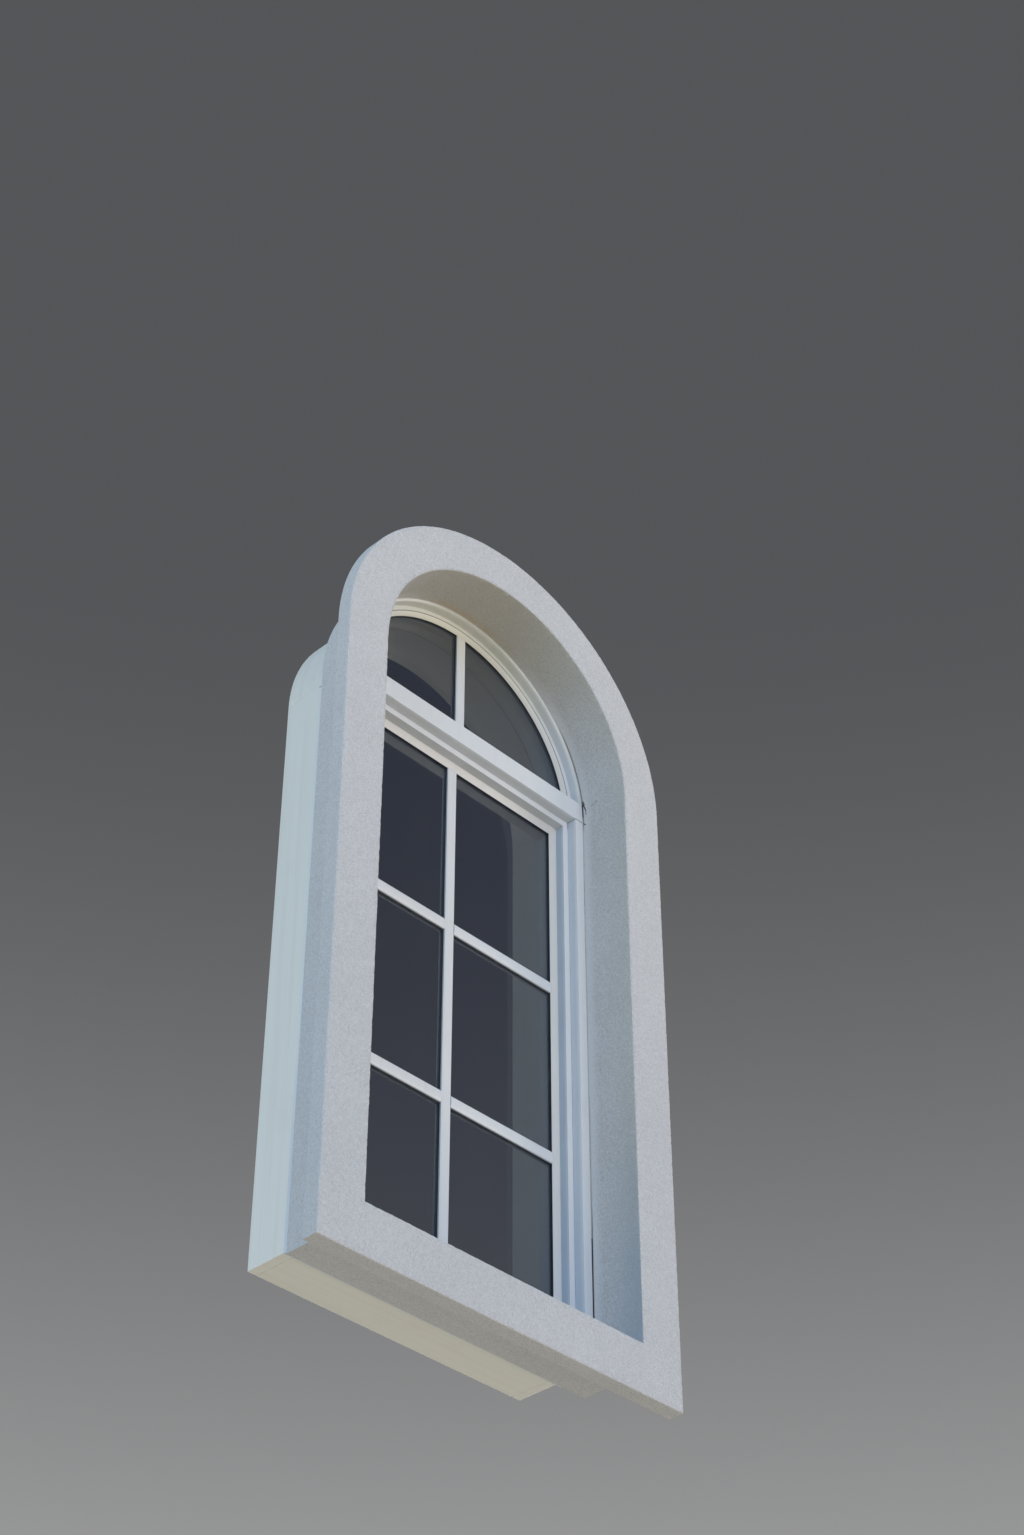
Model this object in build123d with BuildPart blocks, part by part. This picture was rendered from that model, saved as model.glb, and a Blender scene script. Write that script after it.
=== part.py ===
from build123d import *
import math
import os

# Arched fixed window in a rendered surround, in millimetres.
# X runs to the right as seen from outside, Y runs into the wall, Z runs up.
# The origin is on the wall's outer face, at the middle of the surround's bottom edge.

# Surround: a face band that laps on to the wall, and a reveal return behind it
opening_width = 620.0
leg_height = 1141.5         # sill line up to the springing of the arch
band_width = 93.5           # face band beside and over the opening
sill_band = 91.5            # face band under the opening
band_thickness = 30.0       # how far the band stands off the wall
reveal_depth = 107.0        # face of the band back to the face of the frame
return_depth = 150.0        # face of the band back to the end of the return
return_wall = 20.0
sill_rise = 2.5             # the sill climbs towards the frame, so that water runs out
arris_width = 2.0           # small chamfer round the front of the band

# Outer frame: box sections, with the arch frame standing on the transom
frame_gap = 2.0             # joint between the frame and the reveal
frame_depth = 75.0
frame_wall = 1.8
frame_web = 40.0            # face of the frame back to the web inside each box
jamb_width = 19.7
first_step = 20.3           # face of the frame back to the face of the sash and the arch face
transom_above = 34.0        # transom over the springing
transom_below = 9.0         # transom under the springing
arch_lip = 4.5              # thin front edge of the arch frame
arch_face_width = 9.5       # stepped face behind that edge

# Sash of the lower light and the beads of both lights
sash_clearance = 0.3
sash_width = 13.6
sash_wall = 1.6
rail_end_gap = 0.9          # each rail is cut this much short of the side of the sash
second_step = 18.2          # face of the sash back to its bead
bead_width = 13.2
bead_depth = 7.3            # how far the bead slopes back
arch_bead_width = 8.4
arch_bead_depth = 8.0
bead_nose = 0.6             # square edge at the tip of a bead
bead_wall = 1.2
bead_joint = 0.3            # fine joint beside the arch beads
daylight_bottom = 30.0      # sill line up to the sight line of the lower light

# Glass, held between a gasket in front and a tape behind
glass_thickness = 6.0
gasket_depth = 2.2
gasket_width = 4.5
tape_depth = 2.0
glass_edge_gap = 3.0        # edge of the glass to the floor of its rebate
block_length = 60.0
block_inset = 0.25          # share of a light's width from its side to a setting block

# Glazing bars stuck to both faces of the glass
bar_width = 22.0
bar_thickness = 4.6
bar_bevel_width = 5.8       # a broad shallow bevel runs along each edge
bar_bevel_depth = 1.3
bar_tape_depth = 0.8
bar_tape_margin = 1.5
bar_end_gap = 0.6
row_count = 3               # rows of panes in the lower light

# Timber lining behind the frame
lining_thickness = 19.0
lining_depth = 89.0
lining_setback = 5.0        # outer face of the frame to the outer face of the lining
lining_arris = 1.5

# Sealant at the face of the frame, with the stretches that have opened up on the right
seal_depth = 6.0
seal_drop = 6.0             # how far the sill's sealant reaches down behind the render
jamb_split = 340.0          # split up from the sill
transom_split = 24.0        # split down from the top of the transom, at its end
arch_split_end = 38.0       # degrees above the springing, split up from the transom

# Fixings
packer_height = 28.0
packer_length = 22.0
fixing_depth = 31.0         # face of the frame back to the frame screws
fixing_count = 3
fixing_end = 150.0          # sill line to the lowest screw, and springing to the highest
screw_radius = 2.4
screw_head_radius = 4.75
screw_head_height = 3.0
screw_bite = 16.0           # length of screw in the surround
hole_clearance = 0.25
driver_clearance = 1.5      # around a screw head, in the slot that it is driven through
packer_slot = 5.4           # width of the slot that lets a packer slide over its screw
cleat_length = 32.0
cleat_clearance = 0.2
weep_length = 26.0
weep_height = 4.0
weep_inset = 70.0

# Levels and faces that follow from the sizes above
half_opening = opening_width / 2
sill_z = sill_band
spring_z = sill_z + leg_height
face_y = -band_thickness
frame_y = face_y + reveal_depth
return_y = face_y + return_depth
frame_back_y = frame_y + frame_depth
half_frame = half_opening - frame_gap
half_jambs = half_frame - jamb_width
transom_top = spring_z + transom_above
transom_bottom = spring_z - transom_below
sash_half = half_jambs - sash_clearance
sash_top = transom_bottom - sash_clearance
sash_bottom = sill_z + daylight_bottom - bead_width - sash_width
frame_sill_top = sash_bottom - sash_clearance
frame_bottom = frame_sill_top - jamb_width
rebate_z = frame_bottom - frame_gap
rebate_y = frame_y - frame_gap

# Lower light: rebate floor, sight lines and depths behind the face of the frame
rebate_half = sash_half - sash_width
rebate_top = sash_top - sash_width
rebate_bottom = sash_bottom + sash_width
sight_half = rebate_half - bead_width
sight_top = rebate_top - bead_width
sight_bottom = rebate_bottom + bead_width
bead_start = first_step + second_step
glass_front = bead_start + bead_depth + gasket_depth
sash_leg = glass_front + glass_thickness + tape_depth

# Arch light: the same, with radii about the middle of the springing
arch_step_radius = half_frame - arch_lip
arch_rebate_radius = arch_step_radius - arch_face_width
arch_sight_radius = arch_rebate_radius - arch_bead_width
arch_rebate_z = transom_top + arch_face_width
arch_sight_z = arch_rebate_z + arch_bead_width
arch_glass_front = first_step + arch_bead_depth + gasket_depth
arch_leg = arch_glass_front + glass_thickness + tape_depth

# Lining
lining_half = half_frame - lining_setback
lining_inner = lining_half - lining_thickness
lining_bottom = frame_bottom + lining_setback
lining_back_y = frame_back_y + lining_depth

outwards = (0, -1, 0)
inwards = (0, 1, 0)
arch_axis = Axis((0, 0, spring_z), outwards)


def keep(piece, name):
    """Label a finished piece and write it."""
    piece.part.label = name
    export_step(piece.part, f"parts/{name}.step")


def upright(y):
    """Plane parallel to the wall at depth y. It faces outwards, so an extrusion comes forward."""
    return Plane(origin=(0, y, 0), x_dir=(1, 0, 0), z_dir=outwards)


def side_plane(start, inward):
    """Plane across a frame member: local x runs from its outer face inward, local y into the wall."""
    return Plane(origin=start, x_dir=inward, z_dir=Vector(inward).cross(Vector(inwards)))


def patch(x0, x1, y0, y1, mode=Mode.ADD):
    """Rectangle from one corner to the opposite one."""
    with Locations(((x0 + x1) / 2, (y0 + y1) / 2)):
        Rectangle(abs(x1 - x0), abs(y1 - y0), mode=mode)


def outline(points, mode=Mode.ADD):
    """Closed face through the given points."""
    with BuildLine() as border:
        Polyline(*points, close=True)
    make_face(border.edges(), mode=mode)


def arched_face(half_width, base, mode=Mode.ADD):
    """Upright face with a half-round top that springs at spring_z."""
    with BuildLine() as border:
        Polyline((-half_width, spring_z), (-half_width, base), (half_width, base), (half_width, spring_z))
        CenterArc((0, spring_z), half_width, 0, 180)
    make_face(border.edges(), mode=mode)


def arch_light_face(radius, base, mode=Mode.ADD):
    """Part of a disc about the springing point that lies above the level base."""
    rise = base - spring_z
    half_chord = math.sqrt(radius**2 - rise**2)
    start = math.degrees(math.asin(rise / radius))
    with BuildLine() as border:
        Line((-half_chord, base), (half_chord, base))
        CenterArc((0, spring_z), radius, start, 180 - 2 * start)
    make_face(border.edges(), mode=mode)


def bead_outline(start, width, depth):
    """Sloping bead with a square nose; x is measured from the rebate floor, y from the frame's face."""
    return [(0, start), (width, start + depth - bead_nose), (width, start + depth), (0, start + depth)]


def bead_void(start, width, depth):
    """Hollow in a bead, a wall's thickness inside its outline on every side."""
    slope = math.atan2(depth - bead_nose, width)
    drop = bead_wall / math.cos(slope)
    floor = start + depth - bead_wall
    top = start + drop + bead_wall * math.tan(slope)
    reach = (floor - start - drop) / math.tan(slope)
    return [(bead_wall, top), (min(reach, width - bead_wall), floor), (bead_wall, floor)]


def walk(half_width, bottom, top):
    """Start, inward direction and length of each side of an upright rectangle, clockwise from outside."""
    return {
        "left": ((-half_width, frame_y, bottom), (1, 0, 0), top - bottom),
        "top": ((-half_width, frame_y, top), (0, 0, -1), 2 * half_width),
        "right": ((half_width, frame_y, top), (-1, 0, 0), top - bottom),
        "bottom": ((half_width, frame_y, bottom), (0, 0, 1), 2 * half_width),
    }


sash_sides = walk(sash_half, sash_bottom, sash_top)
rebate_sides = walk(rebate_half, rebate_bottom, rebate_top)

fixing_span = (leg_height - 2 * fixing_end) / (fixing_count - 1)
fixing_heights = [sill_z + fixing_end + i * fixing_span for i in range(fixing_count)]
fixing_places = [(frame_y + fixing_depth, z) for z in fixing_heights]
hands = {"left": -1, "right": 1}


def bore(x_from, x_to, places, radius, mode=Mode.SUBTRACT):
    """Round holes or rods along X between two values of x, at (y, z) places."""
    with BuildSketch(Plane.YZ.offset(min(x_from, x_to))) as ends:
        with Locations(*places):
            Circle(radius)
    extrude(ends.sketch, amount=abs(x_to - x_from), mode=mode)


os.makedirs("parts", exist_ok=True)

# Surround: band and return in one, opened for the window, rebated behind the sill
with BuildPart() as surround:
    with BuildSketch(upright(0)):
        arched_face(half_opening + band_width, 0)
    extrude(amount=band_thickness)
    with BuildSketch(upright(return_y)):
        arched_face(half_opening + return_wall, rebate_z - return_wall)
    extrude(amount=return_depth)
    with BuildSketch(upright(return_y)):
        arched_face(half_opening, sill_z)
    extrude(amount=return_depth, mode=Mode.SUBTRACT)
    with BuildSketch(Plane.YZ.offset(-half_opening)):
        patch(rebate_y, return_y, rebate_z, sill_z)
    extrude(amount=opening_width, mode=Mode.SUBTRACT)
    with BuildSketch(Plane.YZ.offset(-half_opening)):
        outline([(face_y, sill_z), (rebate_y, sill_z), (rebate_y, sill_z + sill_rise)])
    extrude(amount=opening_width)
    front = surround.faces().filter_by(Plane.XZ).sort_by(Axis.Y)[0]
    chamfer(front.edges(), arris_width)
    for hand in hands.values():
        bore(hand * half_opening, hand * (half_opening + screw_bite), fixing_places, screw_radius)
keep(surround, "surround")

# Sealant round the sides and the arch, open where it has split away on the right
with BuildPart() as perimeter_seal:
    seal_back_y = frame_y + seal_depth
    with BuildSketch(upright(seal_back_y)):
        arched_face(half_opening, sill_z + sill_rise)
        arched_face(half_frame, sill_z + sill_rise, mode=Mode.SUBTRACT)
    extrude(amount=seal_depth)
    with BuildSketch(upright(seal_back_y)):
        patch(half_frame, half_opening, sill_z + sill_rise, sill_z + jamb_split)
        patch(half_frame - frame_gap, half_opening, transom_top - transom_split, transom_top)
        arch_split_start = math.degrees(math.asin(transom_above / half_opening))
        reach = half_opening / math.cos(math.radians(arch_split_end))
        with BuildLine():
            low_side = PolarLine((0, spring_z), reach, arch_split_start)
            high_side = PolarLine((0, spring_z), reach, arch_split_end)
            Line(low_side @ 1, high_side @ 1)
        make_face()
    extrude(amount=seal_depth, mode=Mode.SUBTRACT)
keep(perimeter_seal, "perimeter_seal")

with BuildPart() as sill_seal:
    with BuildSketch(Plane.YZ.offset(-half_frame)):
        patch(rebate_y, frame_y, sill_z - seal_drop, sill_z + sill_rise)
    extrude(amount=2 * half_frame)
keep(sill_seal, "sill_seal")


def box_voids(width):
    """The two chambers of a box section, either side of its web."""
    inner, outer = frame_wall, width - frame_wall
    patch(inner, outer, frame_wall, frame_web, mode=Mode.SUBTRACT)
    patch(inner, outer, frame_web + frame_wall, frame_depth - frame_wall, mode=Mode.SUBTRACT)


# Jambs stand from the bottom of the frame up to the transom, each with a slot behind the sash's face
# that its screws are driven through
slot_half = screw_head_radius + driver_clearance
driver_slot = (jamb_width - frame_wall, jamb_width, fixing_depth - slot_half, fixing_depth + slot_half)
jamb_starts = {"left": (-half_frame, frame_bottom), "right": (half_frame, transom_bottom)}
for side, hand in hands.items():
    start_x, start_z = jamb_starts[side]
    with BuildPart() as jamb:
        with BuildSketch(side_plane((start_x, frame_y, start_z), (-hand, 0, 0))):
            patch(0, jamb_width, 0, frame_depth)
            box_voids(jamb_width)
            patch(*driver_slot, mode=Mode.SUBTRACT)
        extrude(amount=transom_bottom - frame_bottom)
        outer_x = hand * half_frame
        bore(outer_x, outer_x - hand * frame_wall, fixing_places, screw_radius + hole_clearance)
    keep(jamb, f"{side}_jamb")

with BuildPart() as frame_sill:
    with BuildSketch(side_plane((half_jambs, frame_y, frame_bottom), (0, 0, 1))):
        patch(0, jamb_width, 0, frame_depth)
        box_voids(jamb_width)
    extrude(amount=2 * half_jambs)
keep(frame_sill, "frame_sill")

# Sections of the arch frame and of the transom's upstand, from the outer face inward
arch_inner_edge = half_frame - arch_sight_radius
arch_rebate_edge = half_frame - arch_rebate_radius
arch_section = [
    (0, 0),
    (arch_lip, 0),
    (arch_lip, first_step),
    (arch_rebate_edge, first_step),
    (arch_rebate_edge, arch_leg),
    (arch_inner_edge, arch_leg),
    (arch_inner_edge, frame_depth),
    (0, frame_depth),
]
arch_chamber = [
    (frame_wall, first_step + frame_wall),
    (arch_rebate_edge - frame_wall, first_step + frame_wall),
    (arch_rebate_edge - frame_wall, arch_leg + frame_wall),
    (arch_inner_edge - frame_wall, arch_leg + frame_wall),
    (arch_inner_edge - frame_wall, frame_depth - frame_wall),
    (frame_wall, frame_depth - frame_wall),
]
arch_plane = side_plane((half_frame, frame_y, spring_z), (-1, 0, 0))

with BuildPart() as arch_frame:
    with BuildSketch(arch_plane):
        outline(arch_section)
        outline(arch_chamber, mode=Mode.SUBTRACT)
    revolve(axis=arch_axis, revolution_arc=180)
    split(bisect_by=Plane.XY.offset(transom_top), keep=Keep.TOP)
keep(arch_frame, "arch_frame")

# Transom: a box the full width of the frame, with an upstand that carries the arch light's base.
# The upstand is scribed to the arch frame, and the ends follow the frame's outline.
transom_height = transom_above + transom_below
upstand = [
    (transom_height, first_step),
    (transom_height + arch_face_width, first_step),
    (transom_height + arch_face_width, arch_leg),
    (transom_height + arch_face_width + arch_bead_width, arch_leg),
    (transom_height + arch_face_width + arch_bead_width, frame_depth),
    (transom_height, frame_depth),
]
transom_back = frame_depth - frame_wall
transom_chamber = [
    (frame_wall, frame_web + frame_wall),
    (transom_height + arch_face_width + arch_bead_width - frame_wall, frame_web + frame_wall),
    (transom_height + arch_face_width + arch_bead_width - frame_wall, transom_back),
    (frame_wall, transom_back),
]
with BuildPart() as transom:
    transom_plane = side_plane((half_frame, frame_y, transom_bottom), (0, 0, 1))
    with BuildSketch(transom_plane):
        outline(upstand)
    extrude(amount=2 * half_frame)
    with BuildSketch(arch_plane):
        outline(arch_section)
    revolve(axis=arch_axis, revolution_arc=180, mode=Mode.SUBTRACT)
    with BuildSketch(transom_plane):
        patch(0, transom_height, 0, frame_depth)
    extrude(amount=2 * half_frame)
    with BuildSketch(transom_plane):
        patch(frame_wall, transom_height - frame_wall, frame_wall, frame_web)
    extrude(amount=2 * half_frame, mode=Mode.SUBTRACT)
    with BuildSketch(side_plane((arch_sight_radius - frame_wall, frame_y, transom_bottom), (0, 0, 1))):
        outline(transom_chamber)
    extrude(amount=2 * (arch_sight_radius - frame_wall), mode=Mode.SUBTRACT)
    with BuildSketch(upright(frame_back_y)):
        arched_face(half_frame, transom_bottom)
    extrude(amount=frame_depth, mode=Mode.INTERSECT)
keep(transom, "transom")

# Sash of the lower light: the rails run through and the stiles are scribed between them
sash_section = [
    (0, first_step),
    (sash_width, first_step),
    (sash_width, sash_leg),
    (sash_width + bead_width, sash_leg),
    (sash_width + bead_width, frame_depth),
    (0, frame_depth),
]
member_names = {"left": "left_stile", "top": "top_rail", "right": "right_stile", "bottom": "bottom_rail"}
for side, (start, inward, length) in sash_sides.items():
    with BuildPart() as member:
        with BuildSketch(side_plane(start, inward)):
            outline(sash_section)
            with BuildSketch(mode=Mode.PRIVATE) as hollow:
                outline(sash_section)
                offset(amount=-sash_wall, kind=Kind.INTERSECTION, mode=Mode.REPLACE)
            add(hollow.sketch, mode=Mode.SUBTRACT)
        extrude(amount=length)
        if side not in hands:
            split(bisect_by=Plane.YZ.offset(sash_half - rail_end_gap), keep=Keep.BOTTOM)
            split(bisect_by=Plane.YZ.offset(rail_end_gap - sash_half), keep=Keep.TOP)
        if side in hands:
            for rail in ("top", "bottom"):
                rail_start, rail_inward, rail_length = sash_sides[rail]
                with BuildSketch(side_plane(rail_start, rail_inward)):
                    outline(sash_section)
                extrude(amount=rail_length, mode=Mode.SUBTRACT)
        if side == "bottom":
            weep_z = sash_bottom + sash_wall + weep_height / 2
            with BuildSketch(upright(frame_y + first_step + sash_wall)):
                with Locations((-sash_half + weep_inset, weep_z), (sash_half - weep_inset, weep_z)):
                    SlotOverall(weep_length, weep_height)
            extrude(amount=sash_wall, mode=Mode.SUBTRACT)
    keep(member, f"sash_{member_names[side]}")

# Beads of the lower light: the level ones run through and the upright ones are scribed between them
lower_bead = bead_outline(bead_start, bead_width, bead_depth)
for side, (start, inward, length) in rebate_sides.items():
    with BuildPart() as bead:
        with BuildSketch(side_plane(start, inward)):
            outline(lower_bead)
            outline(bead_void(bead_start, bead_width, bead_depth), mode=Mode.SUBTRACT)
        extrude(amount=length)
        if side in hands:
            for rail in ("top", "bottom"):
                rail_start, rail_inward, rail_length = rebate_sides[rail]
                with BuildSketch(side_plane(rail_start, rail_inward)):
                    outline(lower_bead)
                extrude(amount=rail_length, mode=Mode.SUBTRACT)
    keep(bead, f"bead_{side}")

# Beads of the arch light, each with a fine joint to the frame beside it
arch_bead_outline = bead_outline(first_step, arch_bead_width - bead_joint, arch_bead_depth)
arch_bead_void = bead_void(first_step, arch_bead_width - bead_joint, arch_bead_depth)
arch_bead_radius = arch_rebate_radius - bead_joint
base_bead_z = arch_rebate_z + bead_joint
with BuildPart() as arch_bead:
    with BuildSketch(side_plane((arch_bead_radius, frame_y, spring_z), (-1, 0, 0))):
        outline(arch_bead_outline)
        outline(arch_bead_void, mode=Mode.SUBTRACT)
    revolve(axis=arch_axis, revolution_arc=180)
    split(bisect_by=Plane.XY.offset(arch_sight_z), keep=Keep.TOP)
keep(arch_bead, "arch_bead")

with BuildPart() as arch_base_bead:
    with BuildSketch(side_plane((arch_bead_radius, frame_y, base_bead_z), (0, 0, 1))):
        outline(arch_bead_outline)
        outline(arch_bead_void, mode=Mode.SUBTRACT)
    extrude(amount=2 * arch_bead_radius)
    with BuildSketch(upright(frame_back_y)):
        arch_light_face(arch_bead_radius, transom_top)
    extrude(amount=frame_depth, mode=Mode.INTERSECT)
keep(arch_base_bead, "arch_base_bead")

# Panes, with the gasket in front of each and the tape behind it
arch_glass_radius = arch_rebate_radius - glass_edge_gap
arch_glass_z = arch_rebate_z + glass_edge_gap
with BuildPart() as arch_glass:
    with BuildSketch(upright(frame_y + arch_glass_front + glass_thickness)):
        arch_light_face(arch_glass_radius, arch_glass_z)
    extrude(amount=glass_thickness)
keep(arch_glass, "arch_glass")

arch_rings = {"arch_gasket": (arch_glass_front, gasket_depth), "arch_tape": (arch_leg, tape_depth)}
for name, (back, depth) in arch_rings.items():
    with BuildPart() as ring:
        with BuildSketch(upright(frame_y + back)):
            arch_light_face(arch_sight_radius + gasket_width, arch_sight_z - gasket_width)
            arch_light_face(arch_sight_radius, arch_sight_z, mode=Mode.SUBTRACT)
        extrude(amount=depth)
    keep(ring, name)

with BuildPart() as lower_glass:
    with BuildSketch(upright(frame_y + glass_front + glass_thickness)):
        glass_half = rebate_half - glass_edge_gap
        patch(-glass_half, glass_half, rebate_bottom + glass_edge_gap, rebate_top - glass_edge_gap)
    extrude(amount=glass_thickness)
keep(lower_glass, "lower_glass")

lower_rings = {"lower_gasket": (glass_front, gasket_depth), "lower_tape": (sash_leg, tape_depth)}
for name, (back, depth) in lower_rings.items():
    with BuildPart() as ring:
        ring_half = sight_half + gasket_width
        with BuildSketch(upright(frame_y + back)):
            patch(-ring_half, ring_half, sight_bottom - gasket_width, sight_top + gasket_width)
            patch(-sight_half, sight_half, sight_bottom, sight_top, mode=Mode.SUBTRACT)
        extrude(amount=depth)
    keep(ring, name)

# Setting blocks under each pane
block_rows = {
    "arch_setting_blocks": (arch_glass_front, arch_rebate_z, arch_rebate_radius),
    "lower_setting_blocks": (glass_front, rebate_bottom, rebate_half),
}
for name, (front_depth, floor_z, half_width) in block_rows.items():
    with BuildPart() as blocks:
        block_x = half_width * (1 - 2 * block_inset)
        with BuildSketch(upright(frame_y + front_depth + glass_thickness)):
            for x in (-block_x, block_x):
                patch(x - block_length / 2, x + block_length / 2, floor_z, floor_z + glass_edge_gap)
        extrude(amount=glass_thickness)
    keep(blocks, name)

# Glazing bars: a strip bevelled along both edges, on a tape, on both faces of the glass
bar_half = bar_width / 2
bar_flat = bar_half - bar_bevel_width
bar_shoulder = bar_thickness - bar_bevel_depth
bar_section = [
    (-bar_half, 0),
    (bar_half, 0),
    (bar_half, bar_shoulder),
    (bar_flat, bar_thickness),
    (-bar_flat, bar_thickness),
    (-bar_half, bar_shoulder),
]
tape_half = bar_half - bar_tape_margin
row_pitch = (sight_top - sight_bottom) / row_count
cross_heights = [sight_bottom + i * row_pitch for i in range(1, row_count)]
cross_length = sight_half - bar_half - 2 * bar_end_gap
cross_x = bar_half + bar_end_gap + cross_length / 2
upright_length = sight_top - sight_bottom - 2 * bar_end_gap
upright_z = (sight_top + sight_bottom) / 2
arch_reach = arch_sight_radius - bar_end_gap
arch_base = arch_sight_z + bar_end_gap
along_x = (1, 0, 0)
along_z = (0, 0, 1)


def strip(section, centre, across, outward, length):
    """Straight strip of a given section, centred on a point, that stands off the glass."""
    plane = Plane(origin=centre, x_dir=across, z_dir=Vector(across).cross(Vector(outward)))
    with BuildSketch(plane) as profile:
        outline(section)
    extrude(profile.sketch, amount=length / 2, both=True)


faces = {"outer": (outwards, -1, 0.0), "inner": (inwards, 1, glass_thickness)}
for face, (outward, sign, through) in faces.items():
    lower_y = frame_y + glass_front + through
    arch_y = frame_y + arch_glass_front + through
    lift = sign * bar_tape_depth

    with BuildPart() as arch_bar:
        strip(bar_section, (0, arch_y + lift, spring_z), along_x, outward, 2 * arch_sight_radius)
        with BuildSketch(upright(frame_back_y)):
            arch_light_face(arch_reach, arch_base)
        extrude(amount=frame_depth, mode=Mode.INTERSECT)
    keep(arch_bar, f"arch_bar_{face}")

    with BuildPart() as upright_bar:
        strip(bar_section, (0, lower_y + lift, upright_z), along_x, outward, upright_length)
    keep(upright_bar, f"upright_bar_{face}")

    for level, height in enumerate(cross_heights, start=1):
        for side, hand in hands.items():
            with BuildPart() as cross_bar:
                strip(bar_section, (hand * cross_x, lower_y + lift, height), along_z, outward, cross_length)
            keep(cross_bar, f"cross_bar_{face}_{side}_{level}")

    tape_section = [
        (-tape_half, 0),
        (tape_half, 0),
        (tape_half, bar_tape_depth),
        (-tape_half, bar_tape_depth),
    ]
    with BuildPart() as bar_tapes:
        strip(tape_section, (0, arch_y, spring_z), along_x, outward, 2 * arch_sight_radius)
        with BuildSketch(upright(frame_back_y)):
            arch_light_face(arch_reach - bar_tape_margin, arch_base + bar_tape_margin)
        extrude(amount=frame_depth, mode=Mode.INTERSECT)
        strip(tape_section, (0, lower_y, upright_z), along_x, outward, upright_length - 2 * bar_tape_margin)
        for height in cross_heights:
            for hand in hands.values():
                centre = (hand * cross_x, lower_y, height)
                strip(tape_section, centre, along_z, outward, cross_length - 2 * bar_tape_margin)
    keep(bar_tapes, f"bar_tapes_{face}")

# Timber lining behind the frame: two side boards, a sill board and a bent board over the arch
with BuildPart() as lining_arch:
    with BuildSketch(side_plane((lining_half, frame_y, spring_z), (-1, 0, 0))):
        patch(0, lining_thickness, frame_depth, frame_depth + lining_depth)
    revolve(axis=arch_axis, revolution_arc=180)
keep(lining_arch, "lining_arch")

for side, hand in hands.items():
    with BuildPart() as lining_side:
        with BuildSketch(Plane.XY.offset(lining_bottom)):
            patch(hand * lining_inner, hand * lining_half, frame_back_y, lining_back_y)
        extrude(amount=spring_z - lining_bottom)
        room_edges = lining_side.edges().filter_by(Axis.Z).group_by(Axis.Y)[-1]
        chamfer(room_edges.sort_by(lambda edge: abs(edge.center().X))[0], lining_arris)
    keep(lining_side, f"lining_{side}")

with BuildPart() as lining_sill:
    with BuildSketch(Plane.XY.offset(lining_bottom)):
        patch(-lining_inner, lining_inner, frame_back_y, lining_back_y)
    extrude(amount=lining_thickness)
keep(lining_sill, "lining_sill")

# Packers in the joint: one slotted over each frame screw, and three under the frame
with BuildPart() as side_packers:
    for hand in hands.values():
        with BuildSketch(Plane.YZ.offset(min(hand * half_frame, hand * half_opening))):
            with Locations(*fixing_places):
                Rectangle(packer_length, packer_height)
            with Locations(*[(y, z - packer_slot / 2) for y, z in fixing_places]):
                Rectangle(packer_slot, packer_height / 2, align=(Align.CENTER, Align.MIN), mode=Mode.SUBTRACT)
        extrude(amount=frame_gap)
keep(side_packers, "side_packers")

with BuildPart() as sill_packers:
    with BuildSketch(Plane.XY.offset(rebate_z)):
        packer_y = frame_y + fixing_depth
        with Locations((-half_jambs / 2, packer_y), (0, packer_y), (half_jambs / 2, packer_y)):
            Rectangle(packer_height, packer_length)
    extrude(amount=frame_gap)
keep(sill_packers, "sill_packers")

# Frame screws: the hexagon head bears inside the jamb's outer wall, the tip is in the surround
with BuildPart() as frame_screws:
    for hand in hands.values():
        seat_x = hand * (half_frame - frame_wall)
        bore(seat_x, hand * (half_opening + screw_bite), fixing_places, screw_radius, mode=Mode.ADD)
        with BuildSketch(Plane.YZ.offset(min(seat_x, seat_x - hand * screw_head_height))):
            with Locations(*fixing_places):
                RegularPolygon(screw_head_radius, side_count=6)
        extrude(amount=screw_head_height)
keep(frame_screws, "frame_screws")

# Cleats that join the frame: in the jambs under the transom, and in the ends of the sill
with BuildPart() as corner_cleats:
    near = frame_wall + cleat_clearance
    far = jamb_width - frame_wall - cleat_clearance
    deep = frame_web - cleat_clearance
    for hand in hands.values():
        with BuildSketch(Plane.XY.offset(transom_bottom - cleat_length)):
            x_out = hand * (half_frame - near)
            x_in = hand * (half_frame - far)
            patch(x_out, x_in, frame_y + near, frame_y + deep)
        extrude(amount=cleat_length)
        with BuildSketch(Plane.YZ.offset(min(hand * half_jambs, hand * (half_jambs - cleat_length)))):
            patch(frame_y + near, frame_y + deep, frame_bottom + near, frame_bottom + far)
        extrude(amount=cleat_length)
keep(corner_cleats, "corner_cleats")
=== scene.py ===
"""Looks of an arched fixed window in a rendered surround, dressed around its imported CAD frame."""

import logging
import math
from dataclasses import dataclass
from enum import Enum
from typing import Optional, Union

import bmesh
import bpy
from mathutils import Matrix, Vector, noise


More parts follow.
